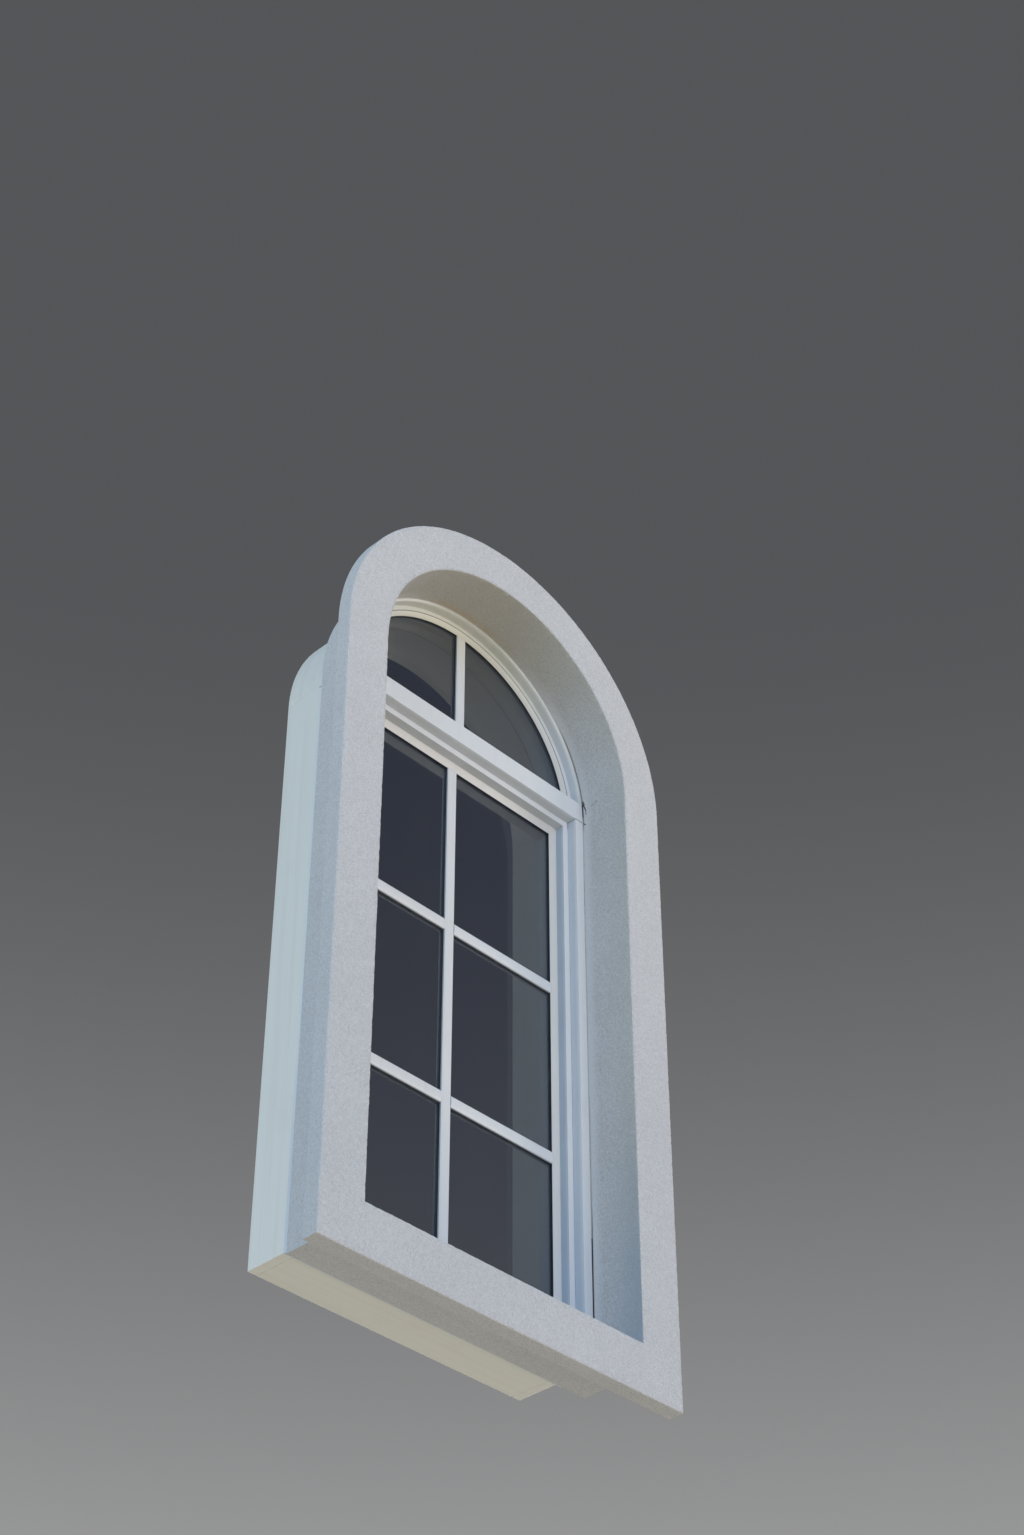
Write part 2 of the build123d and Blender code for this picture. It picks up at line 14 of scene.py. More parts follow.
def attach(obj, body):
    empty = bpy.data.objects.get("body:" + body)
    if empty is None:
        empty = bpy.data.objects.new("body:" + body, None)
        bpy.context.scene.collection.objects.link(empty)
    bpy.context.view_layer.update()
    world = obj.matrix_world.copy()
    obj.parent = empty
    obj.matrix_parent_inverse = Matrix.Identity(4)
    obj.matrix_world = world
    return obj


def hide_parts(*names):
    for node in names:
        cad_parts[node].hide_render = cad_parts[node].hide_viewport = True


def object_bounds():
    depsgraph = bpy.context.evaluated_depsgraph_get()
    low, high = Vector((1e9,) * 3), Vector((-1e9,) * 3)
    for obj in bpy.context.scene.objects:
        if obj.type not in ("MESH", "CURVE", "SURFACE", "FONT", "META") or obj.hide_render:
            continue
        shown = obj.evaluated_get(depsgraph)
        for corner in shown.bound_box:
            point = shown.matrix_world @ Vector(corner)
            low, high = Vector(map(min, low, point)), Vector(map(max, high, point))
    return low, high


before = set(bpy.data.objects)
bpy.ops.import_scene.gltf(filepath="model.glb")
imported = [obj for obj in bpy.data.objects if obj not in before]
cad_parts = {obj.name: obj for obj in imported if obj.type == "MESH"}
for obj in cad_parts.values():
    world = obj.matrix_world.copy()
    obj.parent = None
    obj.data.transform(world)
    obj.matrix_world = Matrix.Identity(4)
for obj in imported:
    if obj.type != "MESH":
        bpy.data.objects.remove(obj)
cad_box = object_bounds()

logging.basicConfig(level=logging.INFO, format="%(message)s")
log = logging.getLogger("arched_window")

MM = 0.001
# Points that lie closer than this are one point.
MERGE = 0.001 * MM
# How far a soft strip draws in from the glass that it lies on.
SQUEEZE = 0.06 * MM
# Faces of a new piece that meet at more than this show an edge.
SHARP_ANGLE = math.radians(42.0)

Point = tuple[float, float, float]
Colour = tuple[float, float, float]
# Where a mask starts and where it has risen to 1, or another pair of limits.
Span = tuple[float, float]
Operand = Union[float, "Signal"]
Tint = Union[Colour, "Signal"]
Settings = dict[str, object]
Sockets = dict[Union[int, str], object]


@dataclass(frozen=True)
class Pattern:
    """Fractal noise: cycles per unit of length, number of octaves, and share that each octave keeps."""

    scale: float
    detail: float = 2.0
    roughness: float = 0.5


@dataclass(frozen=True)
class Gloss:
    """How a finish shines: its roughness, what a signal of 1 adds to that, and how strongly it reflects."""

    roughness: float
    swing: float = 0.0
    level: float = 0.5


@dataclass(frozen=True)
class Signal:
    """An output socket of a node tree, used as a value that varies over a surface."""

    graph: "Graph"
    socket: bpy.types.NodeSocket

    def _join(self, operation: str, first: Operand, second: Operand) -> "Signal":
        """Add one Math node over two operands."""
        return self.graph.node("ShaderNodeMath", {"operation": operation}, {0: first, 1: second})

    def __add__(self, other: Operand) -> "Signal":
        """Sum."""
        return self._join("ADD", self, other)

    def __radd__(self, other: Operand) -> "Signal":
        """Reflected sum."""
        return self._join("ADD", other, self)

    def __sub__(self, other: Operand) -> "Signal":
        """Difference."""
        return self._join("SUBTRACT", self, other)

    def __rsub__(self, other: Operand) -> "Signal":
        """Reflected difference."""
        return self._join("SUBTRACT", other, self)

    def __mul__(self, other: Operand) -> "Signal":
        """Product."""
        return self._join("MULTIPLY", self, other)

    def __rmul__(self, other: Operand) -> "Signal":
        """Reflected product."""
        return self._join("MULTIPLY", other, self)

    def __neg__(self) -> "Signal":
        """Value with its sign changed."""
        return self._join("SUBTRACT", 0.0, self)

    def __abs__(self) -> "Signal":
        """Absolute value."""
        return self._join("ABSOLUTE", self, 0.0)

    def atan2(self, other: "Signal") -> "Signal":
        """Angle whose tangent is self over other, in its own quadrant."""
        return self._join("ARCTAN2", self, other)

    def larger(self, other: Operand) -> "Signal":
        """The larger of the two."""
        return self._join("MAXIMUM", self, other)

    def smaller(self, other: Operand) -> "Signal":
        """The smaller of the two."""
        return self._join("MINIMUM", self, other)

    def ramp(self, low: float, high: float) -> "Signal":
        """Go smoothly from 0 at low to 1 at high.

        Args:
            low: value that gives 0.
            high: value that gives 1; it may be below low.

        Returns:
            The signal after a smooth Map Range node.
        """
        settings = {"interpolation_type": "SMOOTHSTEP"}
        inputs = {"Value": self, "From Min": low, "From Max": high}
        return self.graph.node("ShaderNodeMapRange", settings, inputs)

    def within(self, rising: Span, falling: Span) -> "Signal":
        """1 between a rising span and a falling one."""
        return self.ramp(*rising) * self.ramp(*falling)


@dataclass(frozen=True)
class Graph:
    """One node tree, with the few ways in which this part's finishes add to it."""

    tree: bpy.types.NodeTree

    def node(
        self,
        kind: str,
        settings: Settings,
        inputs: Sockets,
        output: Union[int, str, None] = 0,
    ) -> Optional[Signal]:
        """Add a node.

        Args:
            kind: the node's type name.
            settings: properties set before the sockets, such as a Math node's operation.
            inputs: socket name, identifier or index, to a constant or to a signal that is linked in.
            output: name, identifier or index of the output that is wanted, or None where there is none.

        Returns:
            That output as a signal.
        """
        made = self.tree.nodes.new(kind)
        for key, value in settings.items():
            setattr(made, key, value)
        for key, value in inputs.items():
            socket = self._find(made.inputs, key)
            if isinstance(value, Signal):
                self.tree.links.new(value.socket, socket)
            else:
                socket.default_value = value
        return None if output is None else Signal(self, self._find(made.outputs, output))

    @staticmethod
    def _find(sockets: bpy.types.NodeInputs, key: Union[int, str]) -> bpy.types.NodeSocket:
        """Find a socket.

        Args:
            sockets: inputs or outputs of one node.
            key: the socket's index, identifier or name.

        Returns:
            The socket; an identifier counts before a name.
        """
        if isinstance(key, int):
            return sockets[key]
        for socket in sockets:
            if socket.identifier == key:
                return socket
        return sockets[key]

    def vectors(self, operation: str, inputs: Sockets, output: Union[int, str] = 0) -> Signal:
        """Vector Math node."""
        return self.node("ShaderNodeVectorMath", {"operation": operation}, inputs, output)

    def place(self) -> Signal:
        """Position in the row frame, in metres."""
        return self.node("ShaderNodeTexCoord", {}, {}, "Object")

    def axis(self, vector: Signal, name: str) -> Signal:
        """One component of a vector, by the name X, Y or Z."""
        return self.node("ShaderNodeSeparateXYZ", {}, {0: vector}, name)

    def axes(self, vector: Signal) -> tuple[Signal, ...]:
        """All three components of a vector: to the right, into the wall and up."""
        return tuple(self.axis(vector, name) for name in "XYZ")

    def facing(self, name: str) -> Signal:
        """One component of the surface's own normal."""
        return self.axis(self.node("ShaderNodeNewGeometry", {}, {}, "Normal"), name)

    def stretched(self, vector: Signal, scale: Point) -> Signal:
        """Scale a vector by a factor on each axis."""
        return self.vectors("MULTIPLY", {0: vector, 1: scale})

    def noise(self, vector: Signal, pattern: Pattern) -> Signal:
        """Fractal noise around one half."""
        inputs = {"Scale": pattern.scale, "Detail": pattern.detail, "Roughness": pattern.roughness}
        return self.node("ShaderNodeTexNoise", {}, {"Vector": vector, **inputs})

    def cells(self, vector: Signal, scale: float) -> Signal:
        """Distance to the nearest of a field of scattered grains."""
        return self.node("ShaderNodeTexVoronoi", {}, {"Vector": vector, "Scale": scale})

    def strand(self, place: Signal, start: Point, end: Point) -> Signal:
        """Distance from a place to a straight line between two points.

        Args:
            place: where it is measured.
            start: one end of the line, in metres.
            end: its other end.

        Returns:
            The distance in metres.
        """
        run = Vector(end) - Vector(start)
        offset = self.vectors("SUBTRACT", {0: place, 1: start})
        across = self.vectors("DOT_PRODUCT", {0: offset, 1: tuple(run)}, "Value")
        share = (across * (1.0 / run.length_squared)).larger(0.0).smaller(1.0)
        nearest = self.vectors("SCALE", {0: tuple(run), "Scale": share})
        return self.vectors("DISTANCE", {0: offset, 1: nearest}, "Value")

    def reach(self, place: Signal, spring: float) -> Signal:
        """Distance from the middle of the arched opening.

        Args:
            place: where it is measured.
            spring: height of the arch's centre, in metres.

        Returns:
            Distance from the arch's centre above the springing, and from the centre line below it.
        """
        above = (self.axis(place, "Z") - spring).larger(0.0)
        flat = self.node("ShaderNodeCombineXYZ", {}, {"X": self.axis(place, "X"), "Y": above})
        return self.vectors("LENGTH", {0: flat}, "Value")

    def blend(self, share: Operand, first: Tint, second: Tint) -> Signal:
        """Mix two colours.

        Args:
            share: share of the second colour, from 0 to 1.
            first: colour at a share of 0.
            second: colour at a share of 1.

        Returns:
            The mixed colour.
        """
        sides = [tint if isinstance(tint, Signal) else (*tint, 1.0) for tint in (first, second)]
        inputs = {"Factor_Float": share, "A_Color": sides[0], "B_Color": sides[1]}
        return self.node("ShaderNodeMix", {"data_type": "RGBA"}, inputs, "Result_Color")

    def relief(self, height: Signal, depth: float, over: Optional[Signal] = None) -> Signal:
        """Turn a height from 0 to 1 into a normal.

        Args:
            height: the height signal.
            depth: real height of 1, in metres.
            over: normal of a coarser relief that this one lies on.

        Returns:
            The bumped normal.
        """
        inputs = {"Height": height, "Distance": depth, "Strength": 1.0}
        if over is not None:
            inputs["Normal"] = over
        return self.node("ShaderNodeBump", {}, inputs)

    def ray(self, kind: str) -> Signal:
        """1 for rays of one kind, by the name of Light Path's output."""
        return self.node("ShaderNodeLightPath", {}, {}, kind)

    def seen(self) -> Signal:
        """Tell what is looked at from what only sends light on.

        Returns:
            1 where the camera looks straight, by a gloss or through glass, and 0 for light that falls
            elsewhere.
        """
        looks = self.ray("Is Camera Ray")
        for kind in ("Is Glossy Ray", "Is Transmission Ray"):
            looks = looks.larger(self.ray(kind))
        return looks

    def shader(self, colour: Signal, gloss: Gloss, swing: Operand, **others: Operand) -> Signal:
        """Add a Principled shader.

        Args:
            colour: base colour.
            gloss: how it shines.
            swing: what its roughness follows.
            others: values of further sockets, under their names.

        Returns:
            The shader's output.
        """
        inputs = {
            "Base Color": colour,
            "Roughness": gloss.roughness + swing * gloss.swing,
            "Specular IOR Level": gloss.level,
            **others,
        }
        return self.node("ShaderNodeBsdfPrincipled", {}, inputs)


class Grain(Enum):
    """Way in which brush marks run on a board."""

    UPRIGHT = "upright"
    LEVEL = "level"
    ROUND = "round"


def shade(colour: Colour, factor: float) -> Colour:
    """Scale a colour by a plain number."""
    return tuple(channel * factor for channel in colour)


@dataclass(frozen=True)
class Finish:
    """Base of every finish: one material, made once under its name."""

    name: str

    def surface(self, graph: Graph) -> Signal:
        """Build the shader. Each finish has its own."""
        raise NotImplementedError

    def material(self) -> bpy.types.Material:
        """Make the material, or find it when it is there already.

        Returns:
            The material under the finish's name.
        """
        found = bpy.data.materials.get(self.name)
        if found is not None:
            return found
        made = bpy.data.materials.new(self.name)
        made.use_nodes = True
        made.node_tree.nodes.clear()
        graph = Graph(made.node_tree)
        graph.node("ShaderNodeOutputMaterial", {}, {"Surface": self.surface(graph)}, None)
        return made


@dataclass(frozen=True)
class Crack:
    """Hairline crack in the reveal on the right, as straight runs between points.

    A point is its depth and its height, in metres. The fringe is the soft share of the half width. The crack
    breaks off where the render's mottling is under the gap levels, which its strength lowers by the hold.
    """

    points: tuple[Span, ...]
    half_width: float
    strength: float = 1.0
    side: float = 0.310
    fringe: float = 0.4
    gap_levels: Span = (0.44, 0.56)
    hold: float = 0.2

    def mask(self, graph: Graph, place: Signal, mottle: Signal) -> Signal:
        """Draw the crack.

        Args:
            graph: node tree of the finish.
            place: where it is read.
            mottle: the render's mottling.

        Returns:
            A signal that is as strong as the crack in it, and 0 beside it.
        """
        points = [(self.side, depth, height) for depth, height in self.points]
        near = graph.strand(place, *points[:2])
        for start, end in zip(points[1:], points[2:]):
            near = near.smaller(graph.strand(place, start, end))
        line = near.ramp((1.0 + self.fringe) * self.half_width, (1.0 - self.fringe) * self.half_width)
        low, high = (level - self.hold * self.strength for level in self.gap_levels)
        return line * self.strength * mottle.ramp(low, high)


@dataclass(frozen=True)
class SandedRender(Finish):
    """Painted render with a sanded face: grains, mottling, cracks, a dirty open joint, and painted light and
    shade.

    Depths run into the wall, heights up from the foot and sides to the right, in metres. A pair of shades is
    the darkest and the palest of a paint.
    """

    colour: Colour = (0.608, 0.603, 0.622)
    # Paint at the foot and at the top of the face: painted light, darker toward the foot and paler toward the
    # top.
    foot_shaded_paint: Colour = (0.585, 0.590, 0.622)
    top_lit_paint: Colour = (0.664, 0.650, 0.662)
    # Dark of the cracks, and of the open joint, where it is dirt and painted shade of the crevice.
    dirt: Colour = (0.055, 0.052, 0.048)
    # Brown-grey tint of painted shade: shade and warm bounce light on the soffit, and the top of the shade
    # along the reveal's outer edge.
    dust: Colour = (0.46, 0.42, 0.325)
    # Blue-grey of the painted shade at the foot of the reveal.
    reveal_foot_shade: Colour = (0.30, 0.355, 0.425)
    ochre: Colour = (0.53, 0.385, 0.185)
    gloss: Gloss = Gloss(0.86, 0.1, 0.25)
    grain_scale: float = 430.0
    fine: Pattern = Pattern(430.0, 3.0, 0.65)
    mottle: Pattern = Pattern(220.0, 3.0, 0.6)
    cloud: Pattern = Pattern(9.0, 3.0, 0.55)
    tone_shares: tuple[float, float, float] = (0.52, 0.36, 0.12)
    tone_levels: Span = (0.30, 0.70)
    face_shades: Span = (0.85, 1.12)
    sheltered_shades: Span = (0.76, 1.20)
    # Heights over which the painted light rises from the darker foot to the paler top.
    light_gradient_heights: Span = (0.10, 1.62)
    pit_levels: Span = (0.52, 0.78)
    pit_share: float = 0.25
    pit_shade: float = 0.55
    mottle_relief: float = 1.0 * MM
    sand_relief: float = 1.1 * MM
    raised_share: float = 0.6
    sunk_share: float = 0.5
    spring: float = 1.233
    reveal: float = 0.310
    reveal_margins: Span = (6.0 * MM, 3.0 * MM)
    sill_heights: Span = (0.089, 0.091)
    # How far a face turns down, and how much painted shade and warm bounce light the soffit takes.
    soffit_facing: Span = (0.15, 1.0)
    soffit_shade_share: float = 0.6
    upright_facing: Span = (0.3, 0.9)
    # Painted bounce light: a paler strip on the reveal by the frame.
    bounce_lit_depths: Span = (0.050, 0.072)
    bounce_lit_share: float = 0.6
    bounce_lit_shade: float = 1.25
    # Painted shade on the reveal, stronger toward its outer edge and darker and bluer toward the foot.
    reveal_foot_shade_heights: Span = (0.75, 0.15)
    edge_shade_depths: Span = (0.075, -0.042)
    edge_shade_share: float = 0.25
    reveal_foot_shade_share: float = 0.5
    seep_depths: Span = (0.056, 0.074)
    seep_heights: Span = (1.45, 1.50)
    seep_sides: tuple[Span, Span] = ((-0.13, -0.08), (0.12, 0.04))
    seep_levels: Span = (0.38, 0.56)
    seep_share: float = 0.5
    seam_depth: float = 77.5 * MM
    seam_margins: Span = (3.4 * MM, 1.0 * MM)
    seam_sides: Span = (0.18, 0.20)
    foot_heights: Span = (0.40, 0.335)
    jamb_heights: Span = (0.62, 0.56)
    jamb_share: float = 0.35
    shoulder_heights: tuple[Span, Span] = ((1.195, 1.225), (1.43, 1.39))
    torn_share: float = 0.95
    wobble: Pattern = Pattern(300.0)
    wobble_reach: float = 2.4 * MM
    cracks: tuple[Crack, ...] = (
        Crack(((0.0775, 1.2755), (0.0750, 1.2670)), 3.2 * MM),
        Crack(((0.0750, 1.2670), (0.0705, 1.2535), (0.0710, 1.2400)), 1.4 * MM),
        Crack(((0.0785, 1.2265), (0.0730, 1.2200)), 1.8 * MM),
        Crack(((0.0568, 1.2564), (0.0490, 1.2580), (0.0416, 1.2608)), 1.1 * MM, 0.6),
        Crack(((0.0620, 1.2701), (0.0572, 1.2770)), 1.0 * MM, 0.5),
        Crack(((0.0626, 1.2453), (0.0448, 1.2448)), 1.0 * MM, 0.45),
        Crack(((0.0661, 1.2325), (0.0569, 1.2352)), 1.0 * MM, 0.5),
        Crack(((0.0639, 1.2132), (0.0574, 1.2165)), 1.1 * MM, 0.5),
        Crack(((0.0667, 1.2867), (0.0627, 1.2989)), 1.1 * MM, 0.45),
    )

    def sheltered(self, graph: Graph, place: Signal) -> Signal:
        """Find the faces of the opening that rain doesn't wash.

        Args:
            graph: node tree of the finish.
            place: where it is read.

        Returns:
            1 on the reveal and the soffit above the sill, and 0 elsewhere.
        """
        outer, inner = (self.reveal + margin for margin in self.reveal_margins)
        above = graph.axis(place, "Z").ramp(*self.sill_heights)
        return graph.reach(place, self.spring).ramp(outer, inner) * above

    def open_joint_dirt_and_shade(self, graph: Graph, place: Signal) -> Signal:
        """Find the open joint beside the frame, on the right, darkened by dirt and painted shade of its
        crevice.

        Args:
            graph: node tree of the finish.
            place: where it is read.

        Returns:
            1 along the jamb's lower part, the transom's end and the arch's foot, and 0 elsewhere.
        """
        side, depth, height = graph.axes(place)
        line = abs(depth - self.seam_depth).ramp(*self.seam_margins)
        foot = height.ramp(*self.foot_heights) + height.ramp(*self.jamb_heights) * self.jamb_share
        shoulder = height.within(*self.shoulder_heights)
        return line * side.ramp(*self.seam_sides) * (foot + shoulder).smaller(1.0)

    def seep(self, graph: Graph, place: Signal, mottle: Signal) -> Signal:
        """Find where water seeps out of the joint at the crown.

        Args:
            graph: node tree of the finish.
            place: where it is read.
            mottle: the render's mottling.

        Returns:
            1 in specks beside the frame, and 0 elsewhere.
        """
        side, depth, height = graph.axes(place)
        beside = depth.ramp(*self.seep_depths) * height.ramp(*self.seep_heights)
        return beside * side.within(*self.seep_sides) * mottle.ramp(*self.seep_levels)

    def film(self, graph: Graph, place: Signal, paint: Signal) -> Signal:
        """Paint light and shade onto the sheltered faces.

        Args:
            graph: node tree of the finish.
            place: where it is read.
            paint: the paint without them.

        Returns:
            Paint with painted shade and warm bounce light on the soffit, painted bounce light in a strip by
            the frame, and painted shade toward the outer edge that grows darker and bluer at the foot.
        """
        under = (-graph.facing("Z")).ramp(*self.soffit_facing)
        upright = abs(graph.facing("X")).ramp(*self.upright_facing)
        depth, low = graph.axis(place, "Y"), graph.axis(place, "Z").ramp(*self.reveal_foot_shade_heights)
        # Painted shade and warm bounce light on the soffit.
        paint = graph.blend(under * under * self.soffit_shade_share, paint, self.dust)
        # Painted bounce light: a paler strip on the reveal by the frame.
        clean = depth.ramp(*self.bounce_lit_depths) * upright * self.bounce_lit_share
        paint = graph.blend(clean, paint, shade(self.colour, self.bounce_lit_shade))
        # Painted shade on the reveal, stronger toward its outer edge and darker and bluer toward the foot.
        edge_shade = depth.ramp(*self.edge_shade_depths) * upright * (low * self.reveal_foot_shade_share + self.edge_shade_share)
        return graph.blend(edge_shade, paint, graph.blend(low, self.dust, self.reveal_foot_shade))

    def paint(self, graph: Graph, place: Signal, tone: Signal, sheltered: Signal) -> Signal:
        """Mottle the paint.

        Args:
            graph: node tree of the finish.
            place: where it is read.
            tone: how pale the mottling is, from 0 to 1.
            sheltered: 1 on the sheltered faces.

        Returns:
            Paint with painted light, paler toward the top and darker at the foot, rougher in tone where
            sheltered.
        """
        # Painted light: the paint grows paler toward the top.
        rise = graph.axis(place, "Z").ramp(*self.light_gradient_heights)
        sides = [graph.blend(rise, shade(self.foot_shaded_paint, k), shade(self.top_lit_paint, k)) for k in self.face_shades]
        rough = graph.blend(tone, *(shade(self.colour, k) for k in self.sheltered_shades))
        return graph.blend(sheltered, graph.blend(tone, *sides), rough)

    def torn(self, graph: Graph, place: Signal, mottle: Signal, sheltered: Signal) -> Signal:
        """Find the open joint and the cracks, with wavering lines; the open joint's dark is dirt and painted
        shade.

        Args:
            graph: node tree of the finish.
            place: where it is read.
            mottle: the render's mottling.
            sheltered: 1 on the sheltered faces.

        Returns:
            How dark they are, from 0 to 1.
        """
        shifted = graph.vectors("ADD", {0: place, 1: graph.noise(place, self.wobble) * self.wobble_reach})
        torn = self.open_joint_dirt_and_shade(graph, place) * sheltered
        for crack in self.cracks:
            torn = torn.larger(crack.mask(graph, shifted, mottle))
        return torn

    def surface(self, graph: Graph) -> Signal:
        """Build the shader.

        Args:
            graph: node tree of the finish.

        Returns:
            Grainy painted render.
        """
        place = graph.place()
        grains = graph.cells(place, self.grain_scale)
        patterns = (self.fine, self.mottle, self.cloud)
        fine, mottle, cloud = (graph.noise(place, pattern) for pattern in patterns)
        shares = self.tone_shares
        tone = (fine * shares[0] + mottle * shares[1] + cloud * shares[2]).ramp(*self.tone_levels)
        sheltered = self.sheltered(graph, place)
        paint = self.paint(graph, place, tone, sheltered)
        pits = grains.ramp(*self.pit_levels) * self.pit_share
        paint = graph.blend(pits, paint, shade(self.colour, self.pit_shade))
        # Painted light and shade on the sheltered faces of the opening.
        paint = graph.blend(sheltered, paint, self.film(graph, place, paint))
        seep = self.seep(graph, place, mottle) * sheltered * self.seep_share
        paint = graph.blend(seep, paint, self.ochre)
        torn = self.torn(graph, place, mottle, sheltered)
        coarse = graph.relief(mottle, self.mottle_relief)
        sand = fine * self.raised_share - grains * self.sunk_share
        # Darken the cracks, and the open joint with dirt and painted shade.
        paint = graph.blend(torn * self.torn_share, paint, self.dirt)
        return graph.shader(paint, self.gloss, fine, Normal=graph.relief(sand, self.sand_relief, coarse))


@dataclass(frozen=True)
class PowderCoat(Finish):
    """White powder coat on metal: satin, with dust, dirt in its joints, and painted light and shade.

    Depths run into the wall, heights up from the foot and rises up from the springing, in metres.
    """

    colour: Colour = (0.775, 0.793, 0.825)
    dust: Colour = (0.50, 0.485, 0.45)
    # Dark of the joint lines, which is dirt, and of the painted shade on level recess sides.
    joint_grime_and_recess_shade: Colour = (0.12, 0.11, 0.10)
    # Blue of the painted shade on upright recess sides.
    upright_recess_shade: Colour = (0.11, 0.24, 0.46)
    # Painted warm bounce light, yellower high on the arch.
    crown_warm_light: Colour = (0.74, 0.70, 0.45)
    # Painted shade, bluer and darker toward the foot.
    coat_foot_shade: Colour = (0.30, 0.42, 0.60)
    # Painted highlight on the sides of the arch's lip.
    lit_lip: Colour = (0.92, 0.915, 0.88)
    gloss: Gloss = Gloss(0.30, 0.16)
    peel: Pattern = Pattern(850.0)
    peel_relief: float = 0.025 * MM
    streak_stretch: Point = (60.0, 60.0, 9.0)
    streaks: Pattern = Pattern(1.0, 3.0, 0.6)
    streak_levels: Span = (0.52, 0.80)
    streak_share: float = 0.16
    cloud: Pattern = Pattern(11.0)
    cloud_share: float = 0.06
    ledge_facing: Span = (0.25, 0.95)
    ledge_share: float = 0.35
    spring: float = 1.233
    # Where the painted warm light, the painted foot shade and the painted lip highlight lie.
    crown_warm_light_rises: Span = (0.16, 0.31)
    crown_warm_light_share: float = 0.45
    coat_foot_shade_heights: Span = (0.55, 0.15)
    coat_foot_shade_share: float = 0.30
    lip_depths: Span = (0.080, 0.0785)
    lit_lip_rises: tuple[Span, Span] = ((0.08, 0.17), (0.305, 0.275))
    # Where painted shade darkens the recesses and the corner by the bead.
    side_facing: Span = (0.55, 0.20)
    upright_facing: Span = (0.75, 0.95)
    recess_depths: tuple[Span, Span] = ((0.078, 0.086), (0.131, 0.127))
    recess_share: float = 0.16
    recess_cloud_share: float = 0.10
    corner_depths: tuple[Span, Span] = ((0.100, 0.104), (0.127, 0.123))
    corner_share: float = 0.20
    arch_joint: float = 0.294
    arch_margins: Span = (1.1 * MM, 0.4 * MM)
    arch_rises: Span = (0.034, 0.040)
    joint_depth: float = 0.0973
    joint_margins: Span = (1.6 * MM, 0.8 * MM)
    sash_edge: float = 0.2875
    transom_foot: float = -0.009
    butt_margins: Span = (1.4 * MM, 0.5 * MM)
    joint_share: float = 0.85

    def joint(self, graph: Graph, place: Signal) -> Signal:
        """Find the joints that hold a fine dirty line.

        Args:
            graph: node tree of the finish.
            place: where it is read.

        Returns:
            1 beside the arch bead, and where the jambs meet the transom.
        """
        level, depth, height = graph.axes(place)
        rise = height - self.spring
        line = abs(graph.reach(place, self.spring) - self.arch_joint).ramp(*self.arch_margins)
        shallow = abs(depth - self.joint_depth).ramp(*self.joint_margins)
        beside = abs(level).ramp(self.sash_edge, self.sash_edge + MM)
        butt = abs(rise - self.transom_foot).ramp(*self.butt_margins) * beside
        return (line * shallow * rise.ramp(*self.arch_rises)).larger(butt)

    def paint_light_on_coat(self, graph: Graph, place: Signal) -> Signal:
        """Paint light and shade into the coat's colour.

        Args:
            graph: node tree of the finish.
            place: where it is read.

        Returns:
            The coat with painted warm light high on the arch, painted blue shade at the foot, and a painted
            highlight on the arch lip's sides.
        """
        height = graph.axis(place, "Z")
        rise = height - self.spring
        # Painted warm light high on the arch.
        coat = graph.blend(rise.ramp(*self.crown_warm_light_rises) * self.crown_warm_light_share, self.colour, self.crown_warm_light)
        # Painted shade toward the foot.
        coat = graph.blend(height.ramp(*self.coat_foot_shade_heights) * self.coat_foot_shade_share, coat, self.coat_foot_shade)
        # Painted highlight on the arch lip.
        lip_light = graph.axis(place, "Y").ramp(*self.lip_depths) * rise.within(*self.lit_lip_rises)
        return graph.blend(lip_light, coat, self.lit_lip)

    def shade_recesses(self, graph: Graph, place: Signal, coat: Signal, cloud: Signal) -> Signal:
        """Paint shade onto the sides of the recesses in front of the glass.

        Args:
            graph: node tree of the finish.
            place: where it is read.
            coat: the coat without that soil.
            cloud: soft variation around one half.

        Returns:
            The coat darkened by painted shade: dark on level sides and blue on upright ones, most in the
                corner by the bead.
        """
        depth = graph.axis(place, "Y")
        recess = abs(graph.facing("Y")).ramp(*self.side_facing) * depth.within(*self.recess_depths)
        upright = abs(graph.facing("X")).ramp(*self.upright_facing)
        corner = upright * depth.within(*self.corner_depths) * self.corner_share
        share = recess * (self.recess_share + cloud * self.recess_cloud_share) + corner
        return graph.blend(share, coat, graph.blend(upright, self.joint_grime_and_recess_shade, self.upright_recess_shade))

    def surface(self, graph: Graph) -> Signal:
        """Build the shader.

        Args:
            graph: node tree of the finish.

        Returns:
            Satin coat over a fine orange peel.
        """
        place = graph.place()
        streaks = graph.noise(graph.stretched(place, self.streak_stretch), self.streaks)
        cloud = graph.noise(place, self.cloud)
        ledges = graph.facing("Z").ramp(*self.ledge_facing) * self.ledge_share
        dusty = ledges + streaks.ramp(*self.streak_levels) * self.streak_share + cloud * self.cloud_share
        coat = graph.blend(dusty, self.paint_light_on_coat(graph, place), self.dust)
        # Painted shade in the recesses.
        coat = self.shade_recesses(graph, place, coat, cloud)
        coat = graph.blend(self.joint(graph, place) * self.joint_share, coat, self.joint_grime_and_recess_shade)
        peel = graph.relief(graph.noise(place, self.peel), self.peel_relief)
        return graph.shader(coat, self.gloss, streaks, Normal=peel)


